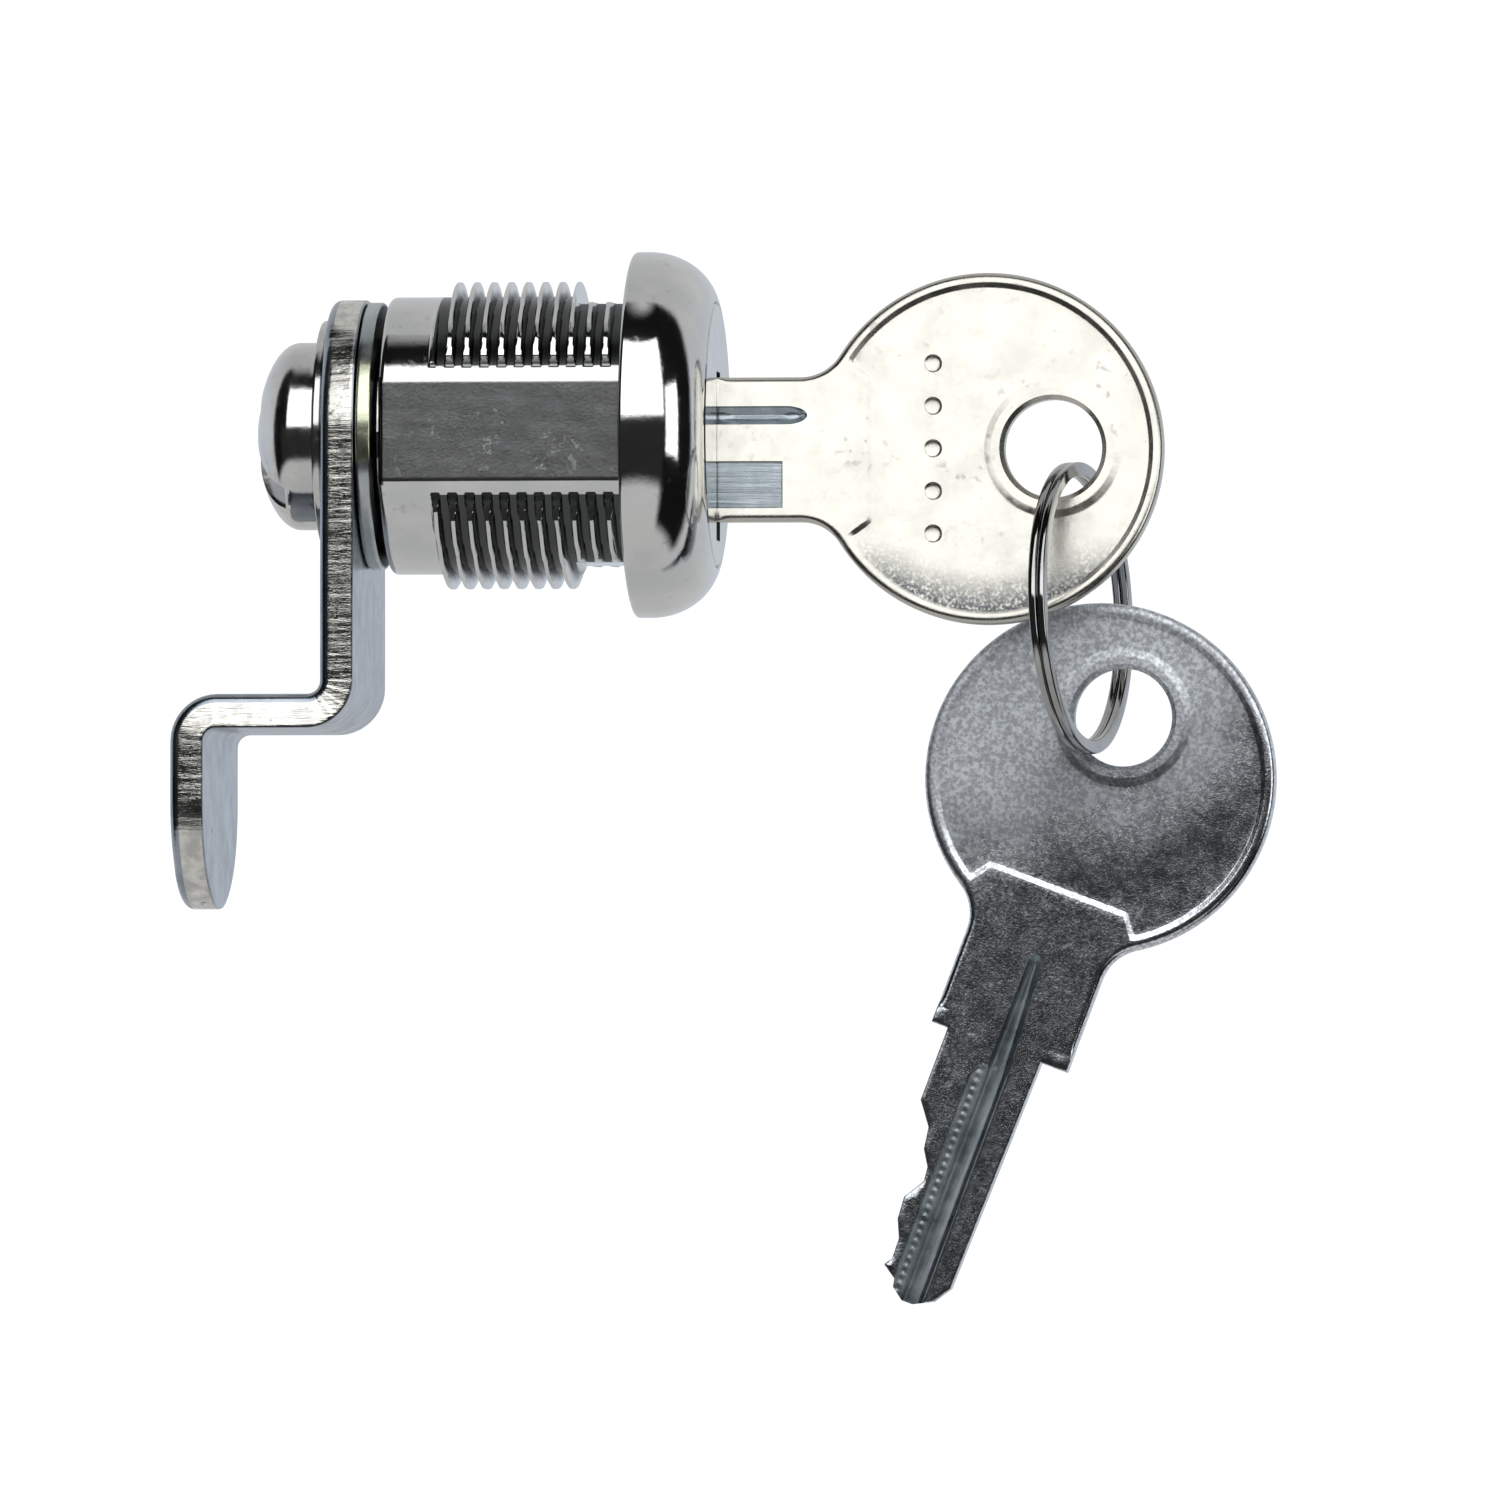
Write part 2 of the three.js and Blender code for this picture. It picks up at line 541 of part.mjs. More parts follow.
function keyCuts() {
  const face = KEY_THICKNESS / 2;
  const hole = [BOW_X + HOLE_OFFSET, 0];
  const boss = new THREE.Shape().absarc(...hole, BOSS_RADIUS, 0, 2 * Math.PI);
  const bore = turned([
    [-face - 1, 0], [-face - 1, HOLE_RADIUS + HOLE_CHAMFER], [-face, HOLE_RADIUS + HOLE_CHAMFER],
    [-face + HOLE_CHAMFER, HOLE_RADIUS], [face - HOLE_CHAMFER, HOLE_RADIUS],
    [face, HOLE_RADIUS + HOLE_CHAMFER], [face + 1, HOLE_RADIUS + HOLE_CHAMFER], [face + 1, 0],
  ], SMALL_SEGMENTS);
  const cuts = [bore.rotate([0, 0, 90]).translate([hole[0], 0, 0])];
  for (const side of [-1, 1]) {
    const span = [side * (face - BOW_DISH), side * (face + 1)].sort((a, b) => a - b);
    cuts.push(alongY(dishOutline(), ...span).subtract(alongY(boss, -face - 2, face + 2)));
  }
  // One face has a narrow groove above a milled flat; the other has one broad groove.
  const tip = -BLADE_LENGTH - 1;
  const { span: [low, high], run, point } = NARROW_GROOVE;
  const groove = outline([
    [tip, low], [run, low], [point, (low + high) / 2], [run, high], [tip, high],
  ]);
  const [near, far] = [-face - 1, face + 1];
  cuts.push(alongY(groove, near, -face + NARROW_GROOVE.depth));
  cuts.push(box([tip, MILLED_FLAT.run], [near, -face + MILLED_FLAT.depth], MILLED_FLAT.span));
  cuts.push(box([tip, BROAD_GROOVE.run], [face - BROAD_GROOVE.depth, far], BROAD_GROOVE.span));
  return cuts;
}

function makeKey() {
  const half = KEY_THICKNESS / 2;
  return keyCuts().reduce((key, cut) => key.subtract(cut), alongY(keyOutline(), -half, half));
}

function makeSplitRing() {
  const half = RING_AXIAL / 2;
  const inner = RING_RADIUS - RING_RADIAL;
  return turned([
    [-half, inner + EDGE], [-half, RING_RADIUS - EDGE], [-half + EDGE, RING_RADIUS],
    [half - EDGE, RING_RADIUS], [half, RING_RADIUS - EDGE], [half, inner + EDGE],
    [half - EDGE, inner], [-half + EDGE, inner], [-half, inner + EDGE],
  ], RING_SEGMENTS);
}

// ---------- assembly ----------

addMesh('housing', toGeometry(makeHousing()), NICKEL);
addMesh('plug', toGeometry(makePlug()), NICKEL);

const waferSpring = toGeometry(makeSpring(EAR_BOTTOM - SPRING_FLOOR - 2 * GAP, WAFER_COIL));
wafers.forEach((wafer, i) => {
  const mesh = addMesh(`wafer_${i + 1}`, toGeometry(makeWafer(wafer)), BRASS);
  mesh.position.x = wafer.x;
  const spring = addMesh(`wafer_spring_${i + 1}`, waferSpring, SPRING_WIRE);
  spring.position.set(wafer.x, wafer.side * SPRING_Y, SPRING_FLOOR + GAP);
});

addMesh('plug_retainer', toGeometry(makeRetainer()), BRASS).position.x = RETAINER_X;
const retainerSpring = makeSpring(RETAINER_BOTTOM - RETAINER_SPRING_FLOOR - 2 * GAP, RETAINER_COIL);
addMesh('retainer_spring', toGeometry(retainerSpring), SPRING_WIRE)
  .position.set(RETAINER_X, 0, RETAINER_SPRING_FLOOR + GAP);

addMesh('stop_washer', toGeometry(makeStopWasher()), CHROMATE);
addMesh('cam', toGeometry(makeCam()), NICKEL);
addMesh('lock_washer', toGeometry(makeLockWasher()), NICKEL);
addMesh('cam_screw', toGeometry(makeCamScrew()), NICKEL);

const keyGeometry = toGeometry(makeKey());
addMesh('key_1', keyGeometry, WARM_NICKEL).position.copy(KEY_1_PLACE);

// The second key hangs blade down, and shows its other face.
const hanging = new THREE.Group();
hanging.position.copy(KEY_2_BOW);
hanging.rotation.set(Math.PI, -Math.PI / 2 + KEY_2_LEAN, 0, 'YXZ');
object.add(hanging);
addMesh('key_2', keyGeometry.clone(), DULL_NICKEL, hanging).position.x = -BOW_X;

const ring = addMesh('split_ring', toGeometry(makeSplitRing()), DARK_STEEL);
ring.position.copy(RING_CENTRE);
ring.rotation.set(0, RING_LEAN, RING_TURN, 'YXZ');

export default object;
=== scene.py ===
"""The visible finish of a cam lock with a key in its plug and a second key on a split ring.

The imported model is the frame. Lengths below are millimetres in the frame's own axes:
the lock's axis is X, the key side faces +X, and the origin is where the head's back
face crosses the axis. Every detailed piece stands for the CAD node of the same part.
"""

import math

import bpy
import numpy as np
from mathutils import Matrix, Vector
from mathutils.geometry import delaunay_2d_cdt


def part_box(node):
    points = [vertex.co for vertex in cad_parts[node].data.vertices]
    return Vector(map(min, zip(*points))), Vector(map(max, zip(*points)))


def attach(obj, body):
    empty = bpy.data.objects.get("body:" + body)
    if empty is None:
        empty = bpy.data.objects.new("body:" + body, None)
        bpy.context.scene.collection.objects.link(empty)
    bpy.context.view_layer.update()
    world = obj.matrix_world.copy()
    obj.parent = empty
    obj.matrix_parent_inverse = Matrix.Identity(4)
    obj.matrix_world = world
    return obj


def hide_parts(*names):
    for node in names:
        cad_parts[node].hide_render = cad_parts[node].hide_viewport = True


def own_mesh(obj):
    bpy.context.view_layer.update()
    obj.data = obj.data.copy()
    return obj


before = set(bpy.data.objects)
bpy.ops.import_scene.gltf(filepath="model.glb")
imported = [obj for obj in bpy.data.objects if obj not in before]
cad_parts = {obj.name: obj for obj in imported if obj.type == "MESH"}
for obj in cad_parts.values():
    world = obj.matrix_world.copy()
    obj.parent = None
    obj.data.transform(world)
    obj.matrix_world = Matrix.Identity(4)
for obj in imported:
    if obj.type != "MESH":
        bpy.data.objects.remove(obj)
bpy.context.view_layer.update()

MM = 0.001
TAU = 2 * math.pi
DRAW = np.random.default_rng(20)

# ---------- driving dimensions: the CAD's own, and those of the finer detail ----------

BODY_RADIUS, BODY_LENGTH, BODY_FLAT, BODY_CHAMFER = 8.5, 15.0, 7.94, 0.4
RING_SPACING = 0.056  # between the loops of points along the body
WRENCH_FLAT, WRENCH_LENGTH = 7.9, 3.35
THREAD_PITCH, THREAD_HEIGHT, THREAD_SIDE = 1.06, 0.95, 7.6
THREAD_START, THREAD_END = -11.33, -0.25
FIRST_RISE, LAST_FALL = 0.55, 0.05  # turns over which the first ridge rises and the last one falls
RIDGE_BASE, RIDGE_CREST = 0.31, 0.12  # half widths
RIDGE_SUNK = 0.2  # how far below the body a ridge is drawn where there is none
# Above the long flats the ridges rise over these angles, to these radii.
RIDGE_RISE = ((26.5, 30, 39, 90), (8.5, 9.1, 9.46, 9.6))
LUMP_HEIGHT = 0.003  # how uneven the casting is
FLAT_SHOWN = 2.99  # half the height of a long flat that has the flat's own finish
HEAD_RADIUS, HEAD_HEIGHT, HEAD_EDGE = 11.2, 5.0, 0.25
DOME_START, DOME_DEPTH, DOME_RISE = 0.9, 4.15, 3.6
BORE_RADIUS, FACE_BORE_RADIUS, FACE_BORE_FLOOR = 6.3, 8.15, 3.3
CHANNEL_HALF, CHANNEL_TOP, CHANNEL_FRONT = 2.9, 7.2, 2.4
GROOVE_X, GROOVE_HALF, GROOVE_RADIUS = -13.7, 0.65, 7.15
LUG_INNER, LUG_OUTER, LUG_LENGTH, LUG_CENTRE, LUG_WIDTH = 6.9, 8.05, 1.3, -45, 45

STOP_RADIUS, STOP_CUT_RADIUS, STOP_FRONT, STOP_REAR = 8.2, 6.7, -15.48, -16.34
STUB_RADIUS, STUB_FLAT = 3.95, 2.95
CAM_INNER, CAM_THICKNESS, CAM_HALF, CAM_JOG = -16.46, 2.1, 8.35, 9.18
CAM_STEP_TOP, CAM_TIP, CAM_TIP_ROUND = -16.0, -29.0, 6.6
BEND_OUTER, BEND_INNER = 2.9, 0.8
CAM_TAPER = 0.3  # the punched edge draws in by this much towards the outer face
CAM_BREAK, CAM_ROLL = 0.12, 0.55  # rounding of its edge at the inner and the outer face
WASHER_RADIUS, WASHER_FRONT, WASHER_REAR = 7.1, -18.61, -19.18
SCREW_FRONT, SCREW_RADIUS, SCREW_HEIGHT, SCREW_RIM = -19.23, 5.75, 4.0, 1.4
SCREW_SLOT, SCREW_SLOT_DEPTH, SCREW_CROSS = 1.67, 2.1, 3.1
SCREW_SHANK, SCREW_TIP = 2.4, -14.85

KEY_THICKNESS, SHANK_HALF, SHANK_STRAIGHT = 1.9, 4.425, 6.05
BOW_X, BOW_RADIUS, BOW_RIM, BOW_DISH = 17.55, 10.75, 0.75, 0.11
DISH_WALL, BOSS_WALL = 0.15, 0.24  # half the width of the slope around the dish and the boss
SHIELD_X, HOLE_OFFSET, HOLE_RADIUS, BOSS_RADIUS = 10.3, 4.0, 3.0, 4.0
BLADE_LENGTH, BLADE_TOP, BLADE_BOTTOM = 16.6, 2.74, -3.37
CUTS = [
    (6.1, 2.1), (7.45, 2.3), (8.4, 2.9), (9.3, 3.0), (10.6, 2.2), (12.0, 2.3),
    (13.1, 2.8), (14.4, 2.85), (14.9, 2.5), (15.5, 3.4), (16.0, 3.5),
]
HOLE_CHAMFER, RIM_ROUND, BLADE_ROUND, PILLOW, WAVE = 0.28, 0.42, 0.1, 0.035, 0.012
GRIP_START, GRIP_FULL = 0.9, 1.7  # the blade's sharp edges turn into the grip's round ones
CUT_DEPTH, GROOVE_DEPTH, GROOVE_HALF_WIDTH = 0.3, 0.5, 0.56
SLOT_DEPTH, SLOT_ROUND, CHANNEL_DEPTH = 0.45, 0.34, 0.2
DOT_ROW, DOT_PITCH, DOT_HEIGHT, DOT_SPREAD = -0.62, 0.55, 0.022, 0.13
CUT_WALL, CHANNEL_WALL = 0.06, 0.07  # half the width of the step at the side of a milled cut
MARK_X, MARK_RADIUS, MARK_DEPTH, MARK_PLACES = 14.2, 0.55, 0.09, (5.2, 2.6, 0.0, -2.6, -5.2)
KEY_1_PLACE = (4.1, 0.0, -0.95)
KEY_2_BOW = (28.3, 2.85, -21.05)
KEY_2_LEAN = math.radians(20.7)

RING_RADIUS, RING_RADIAL, RING_AXIAL = 8.93, 0.85, 1.05
RING_CENTRE = (27.3, 0.0, -10.7)
RING_TURN, RING_LEAN = math.radians(-13.5), math.radians(-2.5)


# ---------- camera, floor and light ----------

CAMERA_TARGET = (7.0, 0.0, -19.3)
CAMERA_AZIMUTH, CAMERA_ELEVATION, CAMERA_DISTANCE = math.radians(5.53), math.radians(-1.5), 958
CAMERA_LENS, CAMERA_SENSOR = 376, 36
STUDIO_STRENGTH, PAGE_STRENGTH = 1.7, 1.05
FLOOR_REACH, FLOOR_NEAR, FLOOR_Z = 350, -300, -90


def make_camera():
    level = math.cos(CAMERA_ELEVATION)
    away = Vector((math.sin(CAMERA_AZIMUTH) * level, -math.cos(CAMERA_AZIMUTH) * level,
                   math.sin(CAMERA_ELEVATION)))
    data = bpy.data.cameras.new("camera")
    data.lens, data.sensor_width = CAMERA_LENS, CAMERA_SENSOR
    data.clip_start, data.clip_end = 0.01, 20
    camera = bpy.data.objects.new("camera", data)
    camera.location = (Vector(CAMERA_TARGET) + away * CAMERA_DISTANCE) * MM
    camera.rotation_euler = (-away).to_track_quat("-Z", "Y").to_euler()
    bpy.context.scene.collection.objects.link(camera)
    bpy.context.scene.camera = camera


def ramp(tree, value, stops):
    node = tree.nodes.new("ShaderNodeValToRGB")
    tree.links.new(value, node.inputs[0])
    elements = node.color_ramp.elements
    while len(elements) < len(stops):
        elements.new(0.5)
    for element, (place, colour) in zip(elements, stops):
        element.position = place
        rgb = colour if isinstance(colour, tuple) else (colour,) * 3
        element.color = (*rgb, 1)
    return node.outputs[0]


def math_node(tree, operation, *values):
    node = tree.nodes.new("ShaderNodeMath")
    node.operation = operation
    for socket, value in zip(node.inputs, values):
        if hasattr(value, "links"):
            tree.links.new(value, socket)
        else:
            socket.default_value = value
    return node.outputs[0]


def times(tree, a, b):
    return math_node(tree, "MULTIPLY", a, b)


def smooth_step(tree, value, low, high):
    node = tree.nodes.new("ShaderNodeMapRange")
    node.interpolation_type = "SMOOTHSTEP"
    tree.links.new(value, node.inputs["Value"])
    node.inputs["From Min"].default_value, node.inputs["From Max"].default_value = low, high
    return node.outputs["Result"]


def mix(tree, factor, a, b, kind="RGBA"):
    node = tree.nodes.new("ShaderNodeMix")
    node.data_type = kind
    socket_type = {"RGBA": "RGBA", "FLOAT": "VALUE"}[kind]
    first, second = [s for s in node.inputs if s.type == socket_type][-2:]
    for socket, value in ((node.inputs[0], factor), (first, a), (second, b)):
        if hasattr(value, "links"):
            tree.links.new(value, socket)
        elif isinstance(value, tuple):
            socket.default_value = (*value, 1)
        else:
            socket.default_value = value
    return next(s for s in node.outputs if s.type == socket_type)


def split_xyz(tree, vector):
    node = tree.nodes.new("ShaderNodeSeparateXYZ")
    tree.links.new(vector, node.inputs[0])
    return node.outputs


def pane(tree, azimuth, elevation, across, up, soft):
    """1 inside a rectangle of the sky, given in degrees, and 0 outside it, with a soft edge."""
    mask = None
    for value, (low, high) in ((azimuth, across), (elevation, up)):
        for edge, way in ((low, 1), (high, -1)):
            part = smooth_step(tree, value, edge - way * soft, edge + way * soft)
            mask = part if mask is None else times(tree, mask, part)
    return mask


def make_world():
    """A studio: a soft box in front and above, a small one to the right, a grey room behind.

    The camera sees a white page in every direction, and the metal sees the studio.
    """
    world = bpy.data.worlds.new("studio")
    bpy.context.scene.world = world
    world.use_nodes = True
    tree = world.node_tree
    tree.nodes.clear()
    direction = tree.nodes.new("ShaderNodeTexCoord").outputs["Generated"]
    x, y, z = split_xyz(tree, direction)
    degrees = 180 / math.pi
    elevation = times(tree, math_node(tree, "ARCSINE", z), degrees)
    azimuth = times(tree, math_node(tree, "ARCTAN2", x, times(tree, y, -1.0)), degrees)
    room = ramp(tree, math_node(tree, "MULTIPLY_ADD", z, 0.5, 0.5), [
        (0.0, 0.3), (0.3, 0.34), (0.5, (0.34, 0.365, 0.4)), (0.8, 0.34), (1.0, 0.3)])
    # Black cards around the front, and then two soft boxes in them: degrees across and up,
    # how soft the edge is in degrees, and the brightness.
    for across, up, soft, level in (
            ((-97, 97), (-31, 60), 5.0, 0.004),
            ((-97, 97), (40, 81), 7.0, 0.004),
            ((40, 97), (-58, 30), 6.0, 0.004),
            ((-60, 42), (-27, 9), 3.0, 0.014),
            ((-30, 42.5), (9.5, 57.5), 1.2, 1.0),
            ((46, 68), (-12, 25), 1.5, 1.0)):
        mask = pane(tree, azimuth, elevation, across, up, soft)
        room = mix(tree, mask, room, (level, level, level))
    light = tree.nodes.new("ShaderNodeBackground")
    tree.links.new(room, light.inputs["Color"])
    light.inputs["Strength"].default_value = STUDIO_STRENGTH
    page = tree.nodes.new("ShaderNodeBackground")
    page.inputs["Color"].default_value = (1, 1, 1, 1)
    page.inputs["Strength"].default_value = PAGE_STRENGTH
    path = tree.nodes.new("ShaderNodeLightPath")
    chosen = tree.nodes.new("ShaderNodeMixShader")
    tree.links.new(path.outputs["Is Camera Ray"], chosen.inputs[0])
    tree.links.new(light.outputs[0], chosen.inputs[1])
    tree.links.new(page.outputs[0], chosen.inputs[2])
    output = tree.nodes.new("ShaderNodeOutputWorld")
    tree.links.new(chosen.outputs[0], output.inputs["Surface"])


def make_floor():
    mesh = bpy.data.meshes.new("floor")
    corners = [(-FLOOR_REACH, FLOOR_NEAR), (FLOOR_REACH, FLOOR_NEAR),
               (FLOOR_REACH, FLOOR_REACH), (-FLOOR_REACH, FLOOR_REACH)]
    mesh.from_pydata([(x * MM, y * MM, FLOOR_Z * MM) for x, y in corners], [], [(0, 1, 2, 3)])
    floor = bpy.data.objects.new("floor", mesh)
    bpy.context.scene.collection.objects.link(floor)
    paint = bpy.data.materials.new("floor_paint")
    paint.use_nodes = True
    shader = paint.node_tree.nodes["Principled BSDF"]
    shader.inputs["Base Color"].default_value = (0.82, 0.82, 0.81, 1)
    shader.inputs["Roughness"].default_value = 0.7
    mesh.materials.append(paint)
    floor.visible_glossy = False


# ---------- materials ----------

BUMP_DEPTH, LINE_DEPTH = 0.02 * MM, 0.03 * MM


def noise(tree, place, scale, detail=3.0, rough=0.5, stretch=None):
    if stretch:
        mapping = tree.nodes.new("ShaderNodeMapping")
        mapping.inputs["Scale"].default_value = stretch
        tree.links.new(place, mapping.inputs["Vector"])
        place = mapping.outputs[0]
    node = tree.nodes.new("ShaderNodeTexNoise")
    tree.links.new(place, node.inputs["Vector"])
    node.inputs["Scale"].default_value = scale
    node.inputs["Detail"].default_value = detail
    node.inputs["Roughness"].default_value = rough
    return node.outputs[0]


def bump(tree, height, distance, strength, below=None):
    node = tree.nodes.new("ShaderNodeBump")
    node.inputs["Strength"].default_value = strength
    node.inputs["Distance"].default_value = distance
    tree.links.new(height, node.inputs["Height"])
    if below:
        tree.links.new(below, node.inputs["Normal"])
    return node.outputs[0]


def metal(name, light, dark, rough, grain, grain_scale=2600, brushed=None, brush=0.0,
          specks=0.0, painted_shade=None, cloud_scale=260, gloss_scale=600, tip=0.0,
          veins=0.0, reflection_band=None, shade_scale=None, brush_scale=2600, matt=None, drawn=False):
    """A plated or bare metal, with colours in linear light and noise scales per metre.

    light and dark are the two ends of its clouded colour, and rough the range of its roughness.
    painted_shade is a painted shade colour laid where the mesh's wear_and_shade attribute is set,
    broken up by a noise if shade_scale is given.
    worn is the colour where the mesh has wear, broken up by a noise if shade_scale is given.
    reflection_band is a painted reflection, a band of another colour across a range of heights, and
    matt a duller end. tip tilts the shading in degrees.
    drawn follows the part as it was drawn, so that a part put in place at a lean keeps its finish.
    """
    material = bpy.data.materials.new(name)
    material.use_nodes = True
    tree = material.node_tree
    shader = tree.nodes["Principled BSDF"]
    shader.inputs["Metallic"].default_value = 1.0
    if drawn:
        given = tree.nodes.new("ShaderNodeAttribute")
        given.attribute_name = "drawn"
        place = given.outputs["Vector"]
    else:
        place = tree.nodes.new("ShaderNodeTexCoord").outputs["Object"]
    clouds = noise(tree, place, cloud_scale, 5.0, 0.6)
    cloud_mask = smooth_step(tree, clouds, 0.38, 0.64)
    colour = mix(tree, cloud_mask, dark, light)
    if reflection_band:
        # Painted reflection: the film's yellow-green tint laid across one band of heights, where it
        # would mirror the soft box.
        bottom, top, band = reflection_band
        waver = math_node(tree, "MULTIPLY_ADD", clouds, 1.2 * MM, -0.6 * MM)
        height = math_node(tree, "ADD", split_xyz(tree, place)[2], waver)
        inside = times(tree, smooth_step(tree, height, bottom - 0.3 * MM, bottom),
                       smooth_step(tree, height, top + 0.3 * MM, top))
        colour = mix(tree, inside, colour, band)
    low, high = rough
    gloss = smooth_step(tree, noise(tree, place, gloss_scale, 4.0, 0.6), 0.3, 0.7)
    gloss = mix(tree, gloss, low, high, "FLOAT")
    if matt:
        # Duller towards one end of a line across the part, in X-Z.
        (across, up), (start, end), dull = matt
        x, _, z = split_xyz(tree, place)
        along = math_node(tree, "MULTIPLY_ADD", z, up, times(tree, x, across))
        drift = noise(tree, place, 110, 1.0, 0.4)
        waver = math_node(tree, "MULTIPLY_ADD", drift, 12 * MM, -6 * MM)
        share = smooth_step(tree, math_node(tree, "ADD", along, waver), start, end)
        gloss = mix(tree, share, gloss, dull, "FLOAT")
    normal = None
    if tip:
        # The faces catch the light as if tipped a few degrees in the keyway.
        slope = times(tree, split_xyz(tree, place)[2], -math.tan(math.radians(tip)))
        normal = bump(tree, slope, 1.0, 1.0)
    if specks:
        spots = noise(tree, place, 1500, 2.0, 0.5)
        patches = smooth_step(tree, noise(tree, place, 330, 2.0, 0.5), 0.45, 0.7)
        spot_mask = times(tree, smooth_step(tree, spots, 0.6, 0.7), patches)
        spot_mask = times(tree, spot_mask, specks)
        colour = mix(tree, spot_mask, colour, tuple(0.3 * c for c in dark))
        gloss = mix(tree, spot_mask, gloss, 0.7, "FLOAT")
        normal = bump(tree, spots, BUMP_DEPTH, 0.3 * specks, normal)
    # Painted shade: a dark colour laid where the mesh's attribute marks shaded places.
    if painted_shade:
        wear_and_shade = tree.nodes.new("ShaderNodeAttribute")
        wear_and_shade.attribute_name = "wear_and_shade"
        painted_shade_mask = wear_and_shade.outputs["Fac"]
        if shade_scale:
            patches = smooth_step(tree, noise(tree, place, shade_scale, 4.0, 0.6), 0.25, 0.6)
            painted_shade_mask = times(tree, painted_shade_mask, patches)
        colour = mix(tree, painted_shade_mask, colour, painted_shade)
        gloss = mix(tree, painted_shade_mask, gloss, min(1.0, high + 0.12), "FLOAT")
    if veins:
        flow = noise(tree, place, 420, 6.0, 0.7)
        from_middle = math_node(tree, "ABSOLUTE", math_node(tree, "SUBTRACT", flow, 0.5))
        line = smooth_step(tree, from_middle, 0.006, 0.001)
        patches = smooth_step(tree, noise(tree, place, 170, 2.0, 0.5), 0.52, 0.6)
        line = times(tree, times(tree, line, patches), veins)
        colour = mix(tree, line, colour, tuple(0.15 * c for c in dark))
        normal = bump(tree, times(tree, line, -1.0), LINE_DEPTH, 0.5, normal)
    if brushed:
        lines = noise(tree, place, brush_scale, 4.0, 0.7, stretch=brushed)
        normal = bump(tree, lines, LINE_DEPTH, brush, normal)
    fine = noise(tree, place, grain_scale, 4.0, 0.6)
    normal = bump(tree, fine, BUMP_DEPTH, grain, normal)
    tree.links.new(colour, shader.inputs["Base Color"])
    tree.links.new(gloss, shader.inputs["Roughness"])
    tree.links.new(normal, shader.inputs["Normal"])
    return material


# ---------- mesh helpers ----------

ROW_SPACING, GRID_CLEARANCE = 0.87, 0.35  # shares of a plate's grid
EDGE_WEAR = 0.8  # on the edge of a plate


def add_piece(name, points, faces, material, body, node, slot, wear_and_shade=None, sharp=35, place=None):
    """Makes a piece of points in millimetres, which stands for a CAD node and rides on a body.

    place is the rows of a rotation and a shift, and edges steeper than sharp degrees aren't smoothed.
    """
    mesh = bpy.data.meshes.new(name)
    drawn = np.asarray(points) * MM
    points = drawn if place is None else drawn @ place[0] + place[1] * MM
    mesh.from_pydata(points.tolist(), [], [tuple(f) for f in faces])
    mesh.polygons.foreach_set("use_smooth", [True] * len(mesh.polygons))
    mesh.set_sharp_from_angle(angle=math.radians(sharp))
    # The attribute holds edge wear on some pieces and painted shade on the others.
    if wear_and_shade is not None:
        layer = mesh.attributes.new("wear_and_shade", "FLOAT", "POINT")
        layer.data.foreach_set("value", np.asarray(wear_and_shade, dtype=np.float32))
    if place is not None:
        # Where each point was before the part was put in its place, for the finish to follow.
        layer = mesh.attributes.new("drawn", "FLOAT_VECTOR", "POINT")
        layer.data.foreach_set("vector", drawn.ravel().astype(np.float32))
    mesh.materials.append(material)
    piece = bpy.data.objects.new(name, mesh)
    bpy.context.scene.collection.objects.link(piece)
    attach(piece, body)
    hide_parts(node)
    return piece


def middles(piece):
    """The x, y and z of the middle of every face."""
    centres = np.empty(3 * len(piece.data.polygons))
    piece.data.polygons.foreach_get("center", centres)
    return (centres / MM).reshape(-1, 3).T


def second_material(piece, material, chosen):
    """Gives the chosen faces another finish."""
    piece.data.materials.append(material)
    piece.data.polygons.foreach_set("material_index", np.asarray(chosen, dtype=int))


def arc(centre, radius, start, end, count, radius_2=None):
    angles = np.linspace(start, end, count)
    return np.column_stack([
        centre[0] + radius * np.cos(angles), centre[1] + (radius_2 or radius) * np.sin(angles),
    ])


def circle(centre, radius, count):
    return arc(centre, radius, 0, TAU, count + 1)[:-1]


def distance(loop, points):
    """Distance from each point to a closed loop, negative inside it."""
    loop, points = np.asarray(loop, float), np.asarray(points, float)
    nearest = np.full(len(points), 1e9)
    inside = np.zeros(len(points), bool)
    for a, b in zip(loop, np.roll(loop, -1, axis=0)):
        edge, reach = b - a, points - a
        along = np.clip(reach @ edge / max(edge @ edge, 1e-12), 0, 1)
        gap = reach - along[:, None] * edge
        nearest = np.minimum(nearest, (gap ** 2).sum(axis=1))
        crosses = (a[1] > points[:, 1]) != (b[1] > points[:, 1])
        if a[1] != b[1]:
            x = a[0] + (points[:, 1] - a[1]) * edge[0] / edge[1]
            inside ^= crosses & (points[:, 0] < x)
    return np.sqrt(nearest) * np.where(inside, -1, 1)


def resample(loop, spacing):
    """The same closed loop with its long edges divided."""
    loop, result = np.asarray(loop, float), []
    for a, b in zip(loop, np.roll(loop, -1, axis=0)):
        steps = max(1, int(math.ceil(np.hypot(*(b - a)) / spacing)))
        result += [a + (b - a) * k / steps for k in range(steps)]
    return np.array(result)


def offset(loop, by):
    """A closed counter-clockwise loop moved outwards by a distance."""
    before, after = np.roll(loop, 1, axis=0), np.roll(loop, -1, axis=0)
    along = after - before
    normal = np.column_stack([along[:, 1], -along[:, 0]])
    normal /= np.maximum(np.hypot(*normal.T), 1e-9)[:, None]
    return loop + by * normal


def blend_low(a, b, reach):
    """The smaller of two values, with the corner between them rounded."""
    h = np.clip(0.5 + 0.5 * (b - a) / reach, 0, 1)
    return b * (1 - h) + a * h - reach * h * (1 - h)


